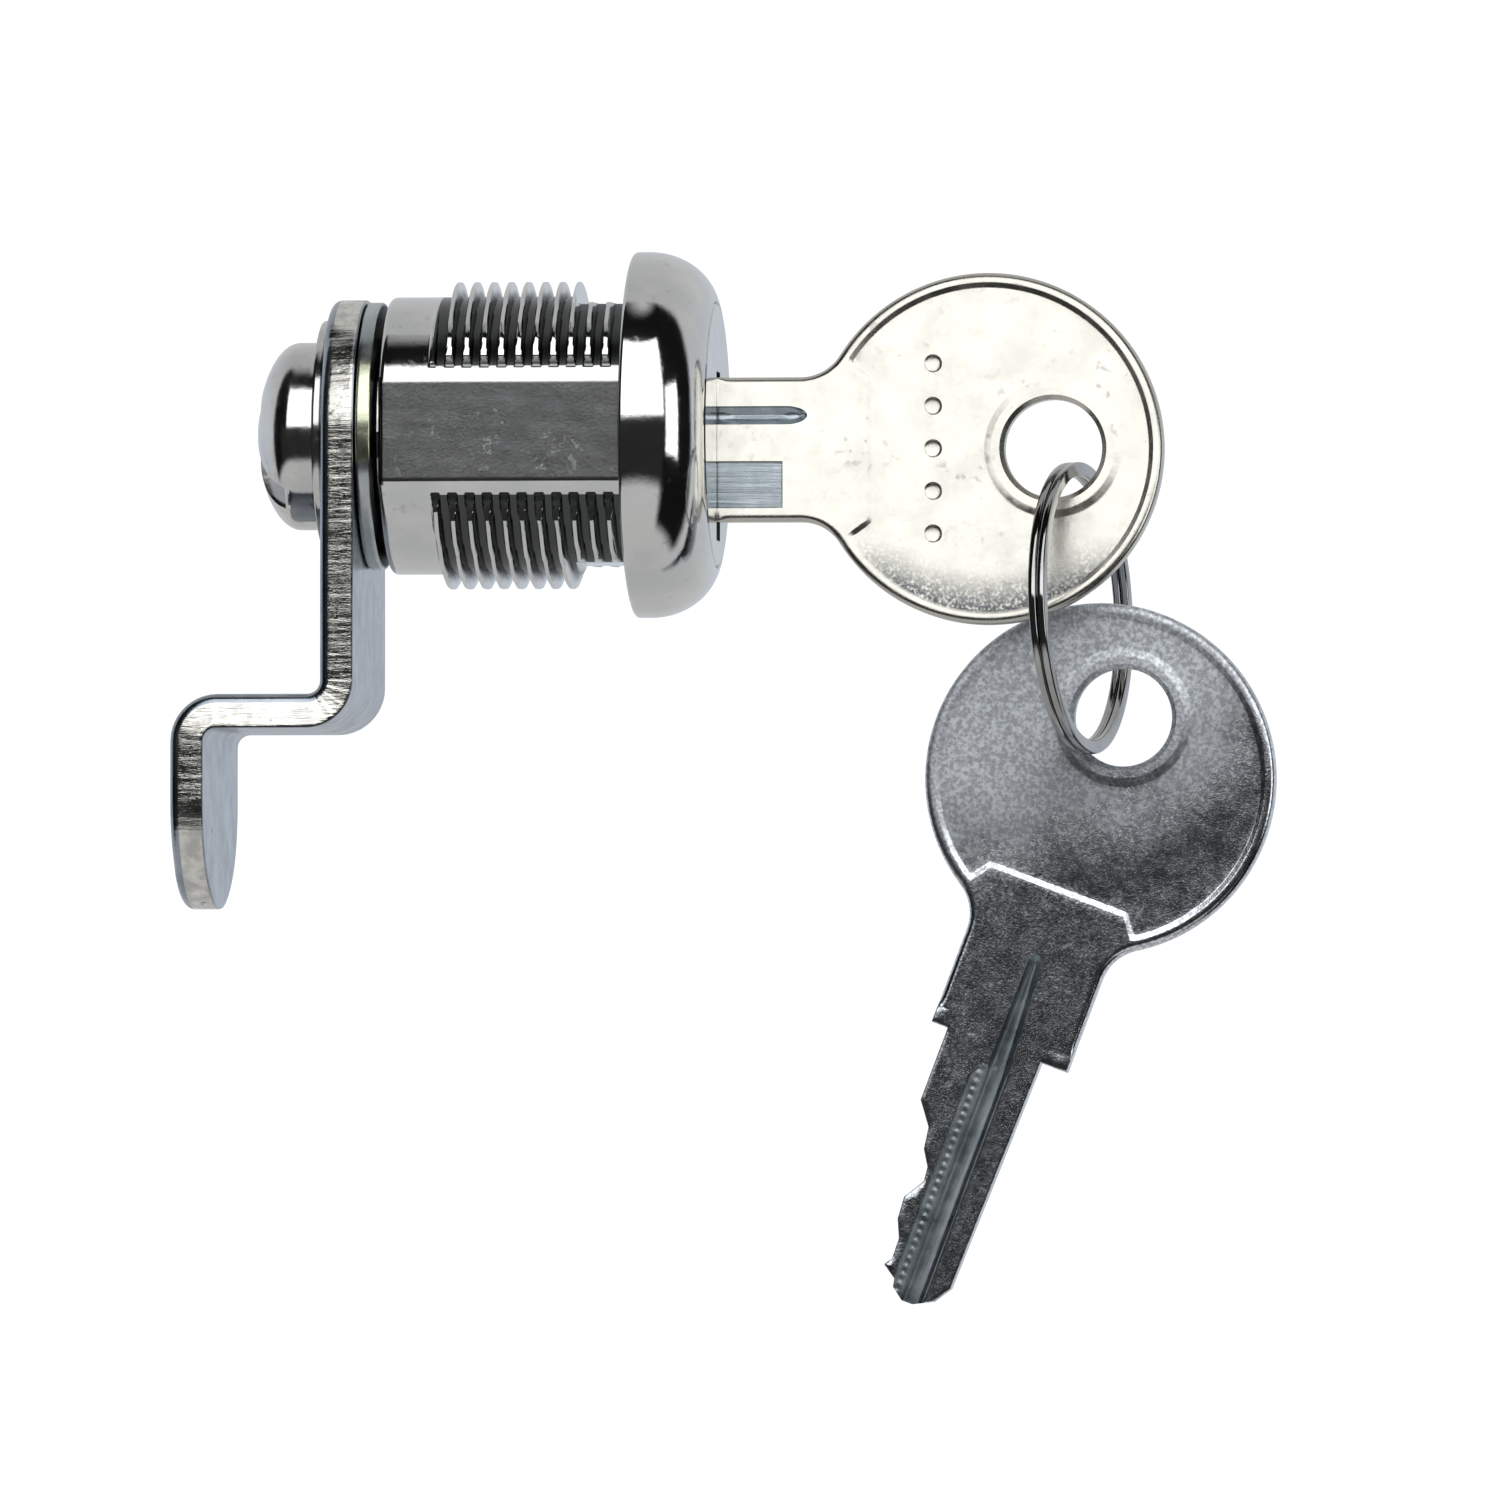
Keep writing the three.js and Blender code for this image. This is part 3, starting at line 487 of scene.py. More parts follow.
def blend_high(a, b, reach):
    return -blend_low(-a, -b, reach)


def soft_step(value, half):
    """1 well inside (value below -half), 0 well outside, smooth between."""
    t = np.clip((half - value) / (2 * half), 0, 1)
    return t * t * (3 - 2 * t)


def slope_step(value, half):
    """1 well inside, 0 well outside, with one even slope between and rounded shoulders."""
    t, shoulder = (half - value) / (2 * half), 0.12
    return blend_low(blend_high(t, np.zeros_like(t), shoulder), np.ones_like(t), shoulder)


def edge_round(inset, radius):
    """How far a rounded edge falls below its face, at a distance in from the outline."""
    reach = np.clip(radius - inset, 0, radius)
    return radius - np.sqrt(np.maximum(radius ** 2 - reach ** 2, 0))


def plate(outline, holes, loops, grid, top, bottom, place, levels=3, wear_reach=0.5):
    """A closed solid between two height fields over one triangulated outline.

    The loops are lines that the triangles keep to, and between them the points lie on a grid.
    top and bottom give a height from points and their distances from the edge, and place turns
    (u, v, height) into points in space. The edge is cut into levels, and worn up to wear_reach in.
    """
    points, edges = [], []
    for loop in [outline, *holes, *loops]:
        start = len(points)
        points += [tuple(p) for p in loop]
        edges += [(start + k, start + (k + 1) % len(loop)) for k in range(len(loop))]
    low, high = outline.min(axis=0), outline.max(axis=0)
    # Every second row of the grid is shifted, so that its triangles are nearly equilateral.
    u, v = np.meshgrid(np.arange(low[0], high[0], grid),
                       np.arange(low[1], high[1], grid * ROW_SPACING))
    u = u + (np.arange(len(u)) % 2 * grid / 2)[:, None]
    mesh = np.column_stack([u.ravel(), v.ravel()])
    away = -distance(outline, mesh)
    for loop in [*holes, *loops]:
        away = np.minimum(away, np.abs(distance(loop, mesh)))
    points += [tuple(p) for p in mesh[away > grid * GRID_CLEARANCE]]
    result = delaunay_2d_cdt([Vector(p) for p in points], edges, [], 0, 1e-6)
    flat = np.array([tuple(p) for p in result[0]])
    triangles = np.array([tuple(f) for f in result[2]])
    centres = flat[triangles].mean(axis=1)
    keep = distance(outline, centres) < 0
    for hole in holes:
        keep &= distance(hole, centres) > 0
    triangles = triangles[keep]
    a, b, c = (flat[triangles[:, k]] for k in range(3))
    turn = (b - a)[:, 0] * (c - a)[:, 1] - (b - a)[:, 1] * (c - a)[:, 0]
    triangles[turn < 0] = triangles[turn < 0][:, ::-1]
    used = np.unique(triangles)
    index = np.full(len(flat), -1)
    index[used] = np.arange(len(used))
    flat, triangles = flat[used], index[triangles]
    count = len(flat)
    inset = -distance(outline, flat)
    for hole in holes:
        inset = np.minimum(inset, np.abs(distance(hole, flat)))
    heights = [bottom(flat, inset), top(flat, inset)]
    directed = {(p, q) for t in triangles.tolist() for p, q in zip(t, t[1:] + t[:1])}
    rim = [(p, q) for p, q in sorted(directed) if (q, p) not in directed]
    solid = [place(flat[:, 0], flat[:, 1], heights[1]), place(flat[:, 0], flat[:, 1], heights[0])]
    faces = [tuple(t) for t in triangles.tolist()]
    faces += [tuple(count + k for k in reversed(t)) for t in triangles.tolist()]
    rim_points = sorted({p for edge in rim for p in edge})
    rim_index = {p: k for k, p in enumerate(rim_points)}
    middle = []
    for level in range(1, levels):
        share = level / levels
        part = heights[1][rim_points] * (1 - share) + heights[0][rim_points] * share
        middle.append(place(flat[rim_points, 0], flat[rim_points, 1], part))

    def number(level, p):
        if level == 0:
            return p
        if level == levels:
            return count + p
        return 2 * count + (level - 1) * len(rim_points) + rim_index[p]

    for p, q in rim:
        for level in range(levels):
            faces.append((number(level, q), number(level, p),
                          number(level + 1, p), number(level + 1, q)))
    wear_and_shade = np.clip(1 - inset / wear_reach, 0, 1)
    every = np.vstack([*solid, *middle])
    wears = np.concatenate([wear_and_shade, wear_and_shade, np.full(len(every) - 2 * count, EDGE_WEAR)])
    return every, faces, wears


def quads(rings, closed):
    """The points and quads between loops of points, the last joined to the first if closed."""
    rows, columns = len(rings), len(rings[0])
    faces = []
    for i in range(rows if closed else rows - 1):
        below, above = i * columns, (i + 1) % rows * columns
        for j in range(columns):
            k = (j + 1) % columns
            faces.append((below + j, above + j, above + k, below + k))
    return np.vstack(rings), faces


def rod(rings):
    """A closed solid of loops of points, with a flat face on each end."""
    points, faces = quads(rings, False)
    columns = len(rings[0])
    last = len(points) - columns
    faces += [tuple(range(columns)), tuple(last + j for j in reversed(range(columns)))]
    return points, faces


# ---------- housing ----------

def body_radius(x, theta):
    """The threaded body's outside: a cylinder with two long flats, and ridges that end before them.

    The last number in each blend is how far it rounds the corner between its two surfaces.
    """
    side = np.maximum(np.abs(np.cos(theta)), 1e-3)
    rise = np.maximum(np.abs(np.sin(theta)), 1e-3)
    core = blend_low(np.full_like(theta, BODY_RADIUS), BODY_FLAT / side, 0.06)
    turn = (x - THREAD_START) / THREAD_PITCH - (theta + math.pi / 2) / TAU
    nearest = np.round(turn)
    off = np.abs(turn - nearest) * THREAD_PITCH
    slope = (RIDGE_BASE - RIDGE_CREST) / THREAD_HEIGHT
    height = THREAD_HEIGHT - np.maximum(off - RIDGE_CREST, 0) / slope
    height = blend_low(height, np.full_like(height, THREAD_HEIGHT - 0.01), 0.14)
    wound = (nearest * TAU + theta + math.pi / 2) / TAU
    turns = (THREAD_END - THREAD_START) / THREAD_PITCH
    fade = np.clip(np.minimum(wound / FIRST_RISE + 1, (turns - wound) / LAST_FALL + 1), 0, 1)
    ridge = np.maximum(height, -RIDGE_SUNK) * fade - RIDGE_SUNK * (1 - fade)
    # Above, the ridges end on a steep slope; below, on an upright face.
    slope_end = np.interp(np.degrees(np.arcsin(np.clip(rise, 0, 1))), *RIDGE_RISE, left=THREAD_SIDE)
    limit = np.where(np.sin(theta) > 0, slope_end, THREAD_SIDE / side)
    ridge = blend_low(BODY_RADIUS + ridge, limit, 0.09)
    radius = blend_high(core, ridge, 0.05)
    if -WRENCH_LENGTH < x < 0:
        radius = blend_low(radius, WRENCH_FLAT / rise, 0.05)
    return radius


def bore_radius(x, theta):
    side = np.maximum(np.abs(np.cos(theta)), 1e-3)
    rise = np.maximum(np.abs(np.sin(theta)), 1e-3)
    radius = np.full_like(theta, BORE_RADIUS)
    if abs(x - GROOVE_X) < GROOVE_HALF:
        radius = np.full_like(theta, GROOVE_RADIUS)
    if x < CHANNEL_FRONT:
        radius = np.maximum(radius, np.minimum(CHANNEL_HALF / side, CHANNEL_TOP / rise))
    return radius


def make_housing(material, flat_material):
    # Close together where the flats and the ridge ends are.
    spans = [(0, 18, 18), (18, 38, 60), (38, 55, 19), (55, 70, 43), (70, 90, 23)]
    quarter = np.concatenate([np.linspace(a, b, n + 1)[:-1] for a, b, n in spans])
    quadrants = [quarter, 180 - quarter[:0:-1], 180 + quarter, 360 - quarter[:0:-1]]
    theta = np.radians(np.concatenate([quadrants[0], [90], quadrants[1], quadrants[2], [270],
                                       quadrants[3]]))
    even = np.ones_like(theta)

    def ring(x, radius):
        """A loop of points around the axis; the radius may differ from point to point."""
        return np.column_stack([x * even, radius * np.cos(theta), radius * np.sin(theta)])

    # Degrees around the axis from the lug's middle.
    from_lug = np.abs((np.degrees(theta) - LUG_CENTRE + 180) % 360 - 180)
    lug = soft_step(from_lug - LUG_WIDTH / 2, 0.35)
    rings = []
    rear = body_radius(-BODY_LENGTH + 0.3, theta)
    for t in np.linspace(0, math.pi / 2, 7):
        rings.append(ring(-BODY_LENGTH + BODY_CHAMFER * (1 - math.cos(t)),
                          rear - BODY_CHAMFER * (1 - math.sin(t))))
    long_part = np.arange(-BODY_LENGTH + 0.5, -WRENCH_LENGTH - 0.04, RING_SPACING)
    short_part = np.arange(-WRENCH_LENGTH + 0.02, -0.06, RING_SPACING)
    for x in [*long_part, -WRENCH_LENGTH - 0.02, *short_part]:
        rings.append(ring(x, body_radius(x, theta)))
    # The corner under the head, then the head's back face and its edge.
    last = body_radius(-0.06, theta)
    rings.append(ring(0.0, last + 0.06))
    rings += [ring(0.0, last * (1 - k) + k * (HEAD_RADIUS - HEAD_EDGE)) for k in (0.4, 0.8, 1.0)]
    for t in np.linspace(0.2, math.pi / 2, 5):
        rings.append(ring(HEAD_EDGE * (1 - math.cos(t)), HEAD_RADIUS - HEAD_EDGE * (1 - math.sin(t))))
    stop = math.acos((FACE_BORE_RADIUS + 0.1 - HEAD_RADIUS + DOME_RISE) / DOME_RISE)
    for t in np.linspace(0.0, stop, 44):
        rings.append(ring(min(DOME_START + DOME_DEPTH * math.sin(t), HEAD_HEIGHT - 0.02),
                          HEAD_RADIUS - DOME_RISE * (1 - math.cos(t))))
    rings += [ring(HEAD_HEIGHT - 0.02, FACE_BORE_RADIUS + 0.04),
              ring(HEAD_HEIGHT - 0.09, FACE_BORE_RADIUS),
              ring(FACE_BORE_FLOOR + 0.03, FACE_BORE_RADIUS),
              ring(FACE_BORE_FLOOR, FACE_BORE_RADIUS - 0.03),
              ring(FACE_BORE_FLOOR, BORE_RADIUS + 0.1),
              ring(FACE_BORE_FLOOR - 0.1, BORE_RADIUS)]
    # Down the bore, with a loop on either side of each step.
    steps = [CHANNEL_FRONT, GROOVE_X + GROOVE_HALF, GROOVE_X - GROOVE_HALF]
    inner = sorted([s + d for s in steps for d in (0.01, -0.01)] + [-5.0, -BODY_LENGTH + 0.1])[::-1]
    rings += [ring(x, bore_radius(x, theta)) for x in inner]
    mouth = bore_radius(-BODY_LENGTH + 0.1, theta)
    rings.append(ring(-BODY_LENGTH, mouth + 0.06))
    # The rear face, with the stop lug standing on it.
    for radius, share in ((LUG_INNER - 0.02, 0), (LUG_INNER + 0.02, 1), (LUG_OUTER - 0.12, 1),
                          (LUG_OUTER - 0.02, 0.92), (LUG_OUTER, 0)):
        limit = np.minimum(np.maximum(radius, mouth + 0.07), rear - BODY_CHAMFER - 0.01)
        rings.append(ring(-BODY_LENGTH - LUG_LENGTH * lug * share, limit))
    points, faces = quads(rings, True)
    # Painted shade between the ridges, and on the rear corner beside the flats, where it darkens a
    # highlight.
    along, radius = points[:, 0], np.hypot(points[:, 1], points[:, 2])
    from_flat = np.degrees(np.abs(np.arctan2(points[:, 2], np.abs(points[:, 1]))))
    ridged = (along > THREAD_START - 0.4) & (along < -0.1) & (radius > BODY_RADIUS - 0.05)
    valley_shade = np.clip((9.05 - radius) / 0.35, 0, 1) * (ridged & (from_flat > 27.5))
    corner = (along < -BODY_LENGTH + BODY_CHAMFER - 0.02) & (from_flat < 23)
    points[:, 1:] += LUMP_HEIGHT * lumps(points, 1.6)[:, None] * points[:, 1:] / radius[:, None]
    piece = add_piece("housing_casting", points, faces, material, "housing", "housing",
                      "housing_nickel", np.maximum(valley_shade, corner), 38)
    x, y, z = middles(piece)
    second_material(piece, flat_material, (x > -BODY_LENGTH + 0.3) & (x < -0.05)
                    & (np.abs(y) > BODY_FLAT - 0.06) & (np.abs(z) < FLAT_SHOWN))


def lumps(points, size):
    """A smooth random field, from -1 to 1, made of a few crossing waves."""
    field = np.zeros(len(points))
    for _ in range(9):
        way = DRAW.normal(size=3)
        way *= TAU / (size * DRAW.uniform(0.7, 2.2)) / np.linalg.norm(way)
        field += np.sin(points @ way + DRAW.uniform(0, TAU))
    return field / 5.0


# ---------- rear fittings ----------

def along_x(back):
    """Places (y, z, height) with the height measured along +X from a plane."""
    return lambda y, z, h: np.column_stack([back + h, y, z])


def double_flat(radius, flat):
    angle = math.asin(flat / radius)
    return np.vstack([arc((0, 0), radius, -angle, angle, 24),
                      arc((0, 0), radius, math.pi - angle, math.pi + angle, 24)])


def sheared(loop, size):
    """An outline with the small ragged steps of a sheared edge."""
    rough = DRAW.normal(size=len(loop)) * size
    rough = (rough + np.roll(rough, 1)) / 2 - size
    return loop + (offset(loop, 1.0) - loop) * rough[:, None]


def make_stop_washer(material):
    half = math.radians((LUG_WIDTH + 90) / 2 + 2)
    loop = np.vstack([arc((0, 0), STOP_RADIUS, half, TAU - half, 120),
                      arc((0, 0), STOP_CUT_RADIUS, -half, half, 90)])
    loop = sheared(resample(loop, 0.3), 0.008)
    thick = STOP_FRONT - STOP_REAR
    hole = double_flat(STUB_RADIUS, STUB_FLAT)
    loops = [offset(loop, -0.05), offset(loop, -0.16), offset(loop, -0.24)]
    parts = plate(loop, [hole], loops, 0.8,
                  lambda p, d: thick - edge_round(d, 0.1), lambda p, d: edge_round(d, 0.1),
                  along_x(STOP_REAR), 5, 0.25)
    # Painted shade: the faces are darkened where they lie in the shaded gaps against the housing and
    # the cam, and the rim is left bright.
    add_piece("stop_washer_plate", *parts[:2], material, "plug", "stop_washer", "yellow_zinc",
              np.clip(1.3 * (EDGE_WEAR - parts[2]), 0, 1))


def make_lock_washer(material):
    loop = circle((0, 0), WASHER_RADIUS, 180)
    hole = circle((0, 0), SCREW_SHANK + 0.3, 48)
    thick = WASHER_FRONT - WASHER_REAR
    loops = [offset(loop, -0.05), offset(loop, -0.14)]
    parts = plate(loop, [hole], loops, 0.8,
                  lambda p, d: thick - edge_round(d, 0.12), lambda p, d: edge_round(d, 0.12),
                  along_x(WASHER_REAR), 3)
    add_piece("lock_washer_disc", *parts[:2], material, "plug", "lock_washer", "washer_nickel",
              parts[2])


def cam_line():
    """The cam's inner face in X-Z as a line from its top to its tip, with each point's normal."""
    inner_lower, tip = CAM_STEP_TOP - CAM_THICKNESS, CAM_INNER - CAM_JOG
    upper_bend, lower_bend = (0, -math.pi / 2, 24), (math.pi / 2, math.pi, 16)
    points = np.vstack([
        [(CAM_INNER, CAM_HALF)],
        arc((CAM_INNER - BEND_OUTER, inner_lower + BEND_OUTER), BEND_OUTER, *upper_bend),
        arc((tip + BEND_INNER, inner_lower - BEND_INNER), BEND_INNER, *lower_bend),
        [(tip, CAM_TIP)]])
    normals = np.vstack([[(1, 0)], arc((0, 0), 1, *upper_bend), -arc((0, 0), 1, *lower_bend), [(1, 0)]])
    return points, normals


def make_cam(material, edge_material):
    """A plate drawn flat, as length along its inner face against width, and then bent."""
    line, normals = cam_line()
    length = np.concatenate([[0], np.cumsum(np.hypot(*np.diff(line, axis=0).T))])
    total = length[-1]
    head = arc((CAM_HALF, 0), CAM_HALF, math.pi / 2, 1.5 * math.pi, 90)
    tip = arc((total - CAM_TIP_ROUND, 0), CAM_TIP_ROUND, -math.pi / 2, math.pi / 2, 90, CAM_HALF)
    loop = resample(np.vstack([head, tip]), 0.11)
    loop = sheared(loop, 0.005)
    hole = double_flat(STUB_RADIUS, STUB_FLAT) + np.array([CAM_HALF, 0])
    # Each bend's start and end along the plate, and the lines across it.
    bends = ((length[1], length[24], 14), (length[25], length[40], 10))

    def bent(s, y, depth):
        x = np.interp(s, length, line[:, 0])
        z = np.interp(s, length, line[:, 1])
        nx, nz = np.interp(s, length, normals[:, 0]), np.interp(s, length, normals[:, 1])
        size = np.hypot(nx, nz)
        z = z + np.where(s < 0, -s, 0)
        y = y + np.sign(y) * CAM_TAPER * depth / CAM_THICKNESS * np.clip(np.abs(y) - 5, 0, 1)
        return np.column_stack([x + depth * nx / size, y, z + depth * nz / size])

    loops = [offset(loop, -k) for k in (0.03, 0.09, 0.18, 0.33, CAM_ROLL)]
    margin = 0.2
    for start, end, count in bends:
        for s in (start - margin, *np.linspace(start, end, count), end + margin):
            loops.append(np.array([(s, -CAM_HALF - 1), (s, CAM_HALF + 1)]))
    parts = plate(loop, [hole], loops, 0.7,
                  lambda p, d: -edge_round(d, CAM_BREAK) + 0.01 * np.sin(p[:, 1] * 1.1),
                  lambda p, d: -CAM_THICKNESS + edge_round(d, CAM_ROLL), bent, 9, 0.8)
    piece = add_piece("cam_plate", *parts[:2], material, "plug", "cam", "cam_nickel", parts[2])
    # Only the faces around the edge are quads.
    second_material(piece, edge_material, [len(face) == 4 for face in parts[1]])


def make_screw(material):
    """A domed head with a long slot and a short one across it, on a plain shank."""
    loop = circle((0, 0), SCREW_RADIUS, 160)
    crown = SCREW_HEIGHT - SCREW_RIM
    rounds = [circle((0, 0), SCREW_RADIUS * math.cos(t), 160 if t < 0.9 else 96)
              for t in np.radians([4, 9, 15, 22, 30, 38, 46, 54, 62, 70, 78, 84])]
    turn = math.radians(45)
    spin = np.array([[math.cos(turn), math.sin(turn)], [-math.sin(turn), math.cos(turn)]])
    half = SCREW_SLOT / 2
    slots = []
    for reach, across in ((SCREW_RADIUS + 1, half), (half, SCREW_CROSS)):
        corners = [(-reach, -across), (reach, -across), (reach, across), (-reach, across)]
        slots.append(resample(corners, 0.3) @ spin)
    wall = 0.09

    def top(p, d):
        radius = np.minimum(np.hypot(*p.T), SCREW_RADIUS)
        dome = SCREW_RIM + crown * np.sqrt(1 - (radius / SCREW_RADIUS) ** 2)
        floor = SCREW_HEIGHT - SCREW_SLOT_DEPTH
        inside = np.maximum(*[soft_step(distance(s, p), wall) for s in slots])
        return np.where(dome > floor, dome + (floor - dome) * inside, dome)

    loops = rounds + [offset(s, k) for s in slots for k in (-wall, -wall / 3, wall / 3, wall)]
    parts = plate(loop, [], loops, 0.5, top, lambda p, d: edge_round(d, 0.15),
                  lambda y, z, h: np.column_stack([SCREW_FRONT - h, y, z]), 5)
    faces = [tuple(reversed(f)) for f in parts[1]]
    sides, chamfer = 48, 0.2
    shank, shank_faces = rod([
        np.column_stack([np.full(sides, x), circle((0, 0), radius, sides)])
        for x, radius in ((SCREW_FRONT - 0.5, SCREW_SHANK), (SCREW_TIP - chamfer, SCREW_SHANK),
                          (SCREW_TIP, SCREW_SHANK - chamfer))])
    faces += [tuple(len(parts[0]) + j for j in face) for face in shank_faces]
    add_piece("cam_screw_turned", np.vstack([parts[0], shank]), faces, material, "plug",
              "cam_screw", "screw_nickel", np.concatenate([parts[2], np.zeros(len(shank))]))


# ---------- keys ----------

def key_outline():
    """A key's grip, from the bow down to the shank, and its blade with the cuts."""
    fillet = (((BOW_X - SHANK_STRAIGHT) ** 2) / (BOW_RADIUS - SHANK_HALF)
              - BOW_RADIUS - SHANK_HALF) / 2
    lift = SHANK_HALF + fillet
    angle = math.atan2(lift, BOW_X - SHANK_STRAIGHT)
    quarter = math.pi / 2
    blade = [(0, SHANK_HALF), (0, BLADE_TOP), (-BLADE_LENGTH + 1.7, BLADE_TOP - 0.3),
             (-BLADE_LENGTH + 0.6, BLADE_TOP - 1.0), (-BLADE_LENGTH, BLADE_TOP - 2.2),
             (-BLADE_LENGTH, -SHANK_HALF + 4.3)]
    blade += [(-along, -SHANK_HALF + depth) for along, depth in reversed(CUTS)]
    blade += [(-4.7, BLADE_BOTTOM), (0, BLADE_BOTTOM), (0, -SHANK_HALF)]
    grip = np.vstack([
        arc((SHANK_STRAIGHT, -lift), fillet, quarter, angle, 14),
        arc((BOW_X, 0), BOW_RADIUS, -math.pi + angle, math.pi - angle, 110),
        arc((SHANK_STRAIGHT, lift), fillet, -angle, -quarter, 14),
    ])
    return grip, np.array(blade, float)


def dish_outline():
    radius = BOW_RADIUS - BOW_RIM
    corner = math.pi - math.asin(5.3 / radius)
    field = arc((BOW_X, 0), radius, -corner, corner, 110)
    return np.vstack([field, [(SHIELD_X, SHANK_HALF), (SHIELD_X, -SHANK_HALF)]])


def bullet(length, centre, half, reach):
    """A slot outline from the blade's tip to a rounded point."""
    nose = arc((length - reach, centre), reach, -math.pi / 2, math.pi / 2, 15, half)
    return resample(np.vstack([[(-18, centre - half)], nose, [(-18, centre + half)]]), 0.4)


def make_key(name, node, body, slot, material, cut_material, place):
    """A key drawn flat along X, with its thickness along Y, and then put in its place."""
    grip, blade = key_outline()
    outline = resample(np.vstack([grip, blade]), 0.3)
    centre = (BOW_X + HOLE_OFFSET, 0)
    hole = circle(centre, HOLE_RADIUS, 72)
    dish, boss = resample(dish_outline(), 0.4), circle(centre, BOSS_RADIUS, 80)
    narrow = bullet(6.5, 2.09, GROOVE_HALF_WIDTH, 1.3)
    flat = resample([(-18, -3.55), (4.95, -3.55), (4.95, -0.75), (-18, -0.75)], 0.4)
    slot_line = resample([(-18, -0.3), (-1.5, -0.26), (3.0, -0.2), (5.4, -0.16), (5.85, -0.06),
                          (6.1, 0.14), (6.15, 0.25), (6.1, 0.38), (5.85, 0.56), (5.4, 0.66),
                          (3.0, 0.86), (-1.5, 1.12), (-18, 1.16)], 0.4)
    channel = resample([(-18, -1.12), (-2.2, -1.12), (-1.3, -0.6), (-1.3, 1.2), (-18, 1.22)], 0.4)
    dimples = [circle((MARK_X, z), MARK_RADIUS, 24) for z in MARK_PLACES]
    face = KEY_THICKNESS / 2

    def common(p):
        """How far the face lies below the key's full thickness, before the milled cuts."""
        from_dish = distance(dish, p)
        sunk = slope_step(from_dish, DISH_WALL) * (1 - slope_step(distance(boss, p), BOSS_WALL))
        chamfer = np.clip(HOLE_CHAMFER - distance(hole, p), 0, HOLE_CHAMFER)
        grip_share = np.clip((p[:, 0] - GRIP_START) / (GRIP_FULL - GRIP_START), 0, 1)
        inset = -distance(outline, p)
        rounded = edge_round(inset, RIM_ROUND) * grip_share
        fine = edge_round(inset, BLADE_ROUND) * (1 - grip_share)
        pillow = PILLOW * soft_step(from_dish + 3.5, 3.2)
        waves = WAVE * np.sin(p[:, 0] * 0.7 + 1.3) * np.sin(p[:, 1] * 0.6 + 0.4)
        waves *= soft_step(from_dish, 0.3)
        return BOW_DISH * sunk + np.maximum(chamfer, rounded + fine) - pillow + waves + 0.02

    def side_a(p, d):
        """The face that key 1 shows: a narrow groove, a wide cut and the round marks."""
        trough = np.sqrt(np.clip(-distance(narrow, p) / GROOVE_HALF_WIDTH, 0, 1))
        cut = np.maximum(common(p), GROOVE_DEPTH * trough)
        for dimple in dimples:
            bowl = np.clip(-distance(dimple, p) / MARK_RADIUS, 0, 1)
            cut = cut + MARK_DEPTH * np.sqrt(1 - (1 - bowl) ** 2)
        return -face + np.maximum(cut, CUT_DEPTH * soft_step(distance(flat, p), CUT_WALL))

    def side_b(p, d):
        """The face that key 2 shows: a rounded slot, and a channel with a row of cutter marks."""
        trough = np.sqrt(np.clip(-distance(slot_line, p) / SLOT_ROUND, 0, 1))
        row = np.exp(-((p[:, 1] - DOT_ROW) / DOT_SPREAD) ** 2)
        dots = DOT_HEIGHT * np.cos(p[:, 0] * TAU / DOT_PITCH) * row
        step = (CHANNEL_DEPTH + dots) * soft_step(distance(channel, p), CHANNEL_WALL)
        return face - np.maximum(np.maximum(common(p), SLOT_DEPTH * trough), step)

    loops = [offset(outline, -k) for k in (0.03, 0.1)]
    grip_only = outline[outline[:, 0] > 0.8]
    loops += [offset(grip_only, -k) for k in (0.18, 0.29, 0.42, 0.5)]
    loops += [offset(hole, k) for k in (0.14, 0.28, 0.36)]
    loops += [offset(loop, k * half) for loop, half in
              ((dish, DISH_WALL), (boss, BOSS_WALL), (flat, CUT_WALL), (channel, CHANNEL_WALL))
              for k in (-1.3, -1, -0.75, 0.75, 1, 1.3)]
    loops += [offset(loop, -k) for loop in (narrow, slot_line)
              for k in (-0.05, 0, 0.03, 0.1, 0.22, 0.38)]
    loops += [offset(dimple, -k) for dimple in dimples for k in (-0.05, 0, 0.05, 0.15, 0.3)]
    # Short lines across the row of cutter marks, four to each mark.
    loops += [np.array([(x, DOT_ROW - 0.24), (x, DOT_ROW), (x, DOT_ROW + 0.24)])
              for x in np.arange(-16.2, -1.6, DOT_PITCH / 4)]
    points, faces, _ = plate(
        outline, [hole], loops, 0.4, side_b, side_a,
        lambda x, z, y: np.column_stack([x, y, z]), 6, 0.45)
    # (x, z, y) is left-handed, so the faces turn over.
    faces = [tuple(reversed(f)) for f in faces]
    # Painted shade: darkened inside the rim on the side of the cut edge, where a dark reflection would
    # fall.
    flat_points = points[:, [0, 2]]
    from_dish = distance(dish, flat_points)
    low = np.clip((-flat_points[:, 1] - 5.2) / 3.2, 0, 1)
    rim_shade = np.clip(1 + from_dish / 2.6, 0, 1) * (from_dish < 0.05) * low
    piece = add_piece(name, points, faces, material, body, node, slot, rim_shade, 40, place)
    x, y, z = ((middles(piece).T - place[1]) @ place[0].T).T
    here = np.column_stack([x, z])
    near = (y < -face + 0.6) & (y > -face + 0.06) & (
        (distance(narrow, here) < 0) | (distance(flat, here) < -0.02))
    far = (y > face - 0.6) & (y < face - 0.1) & (
        (distance(slot_line, here) < 0) | (distance(channel, here) < 0))
    second_material(piece, cut_material, near | far)


def key_places():
    """The rows of the rotation and the shift that put each key where it is at rest."""
    lean = KEY_2_LEAN
    rows = np.array([[math.sin(lean), 0, math.cos(lean)], [0, -1, 0],
                     [math.cos(lean), 0, -math.sin(lean)]])
    bow = np.array(KEY_2_BOW)
    return (np.eye(3), np.array(KEY_1_PLACE)), (rows, bow - np.array([BOW_X, 0, 0]) @ rows)


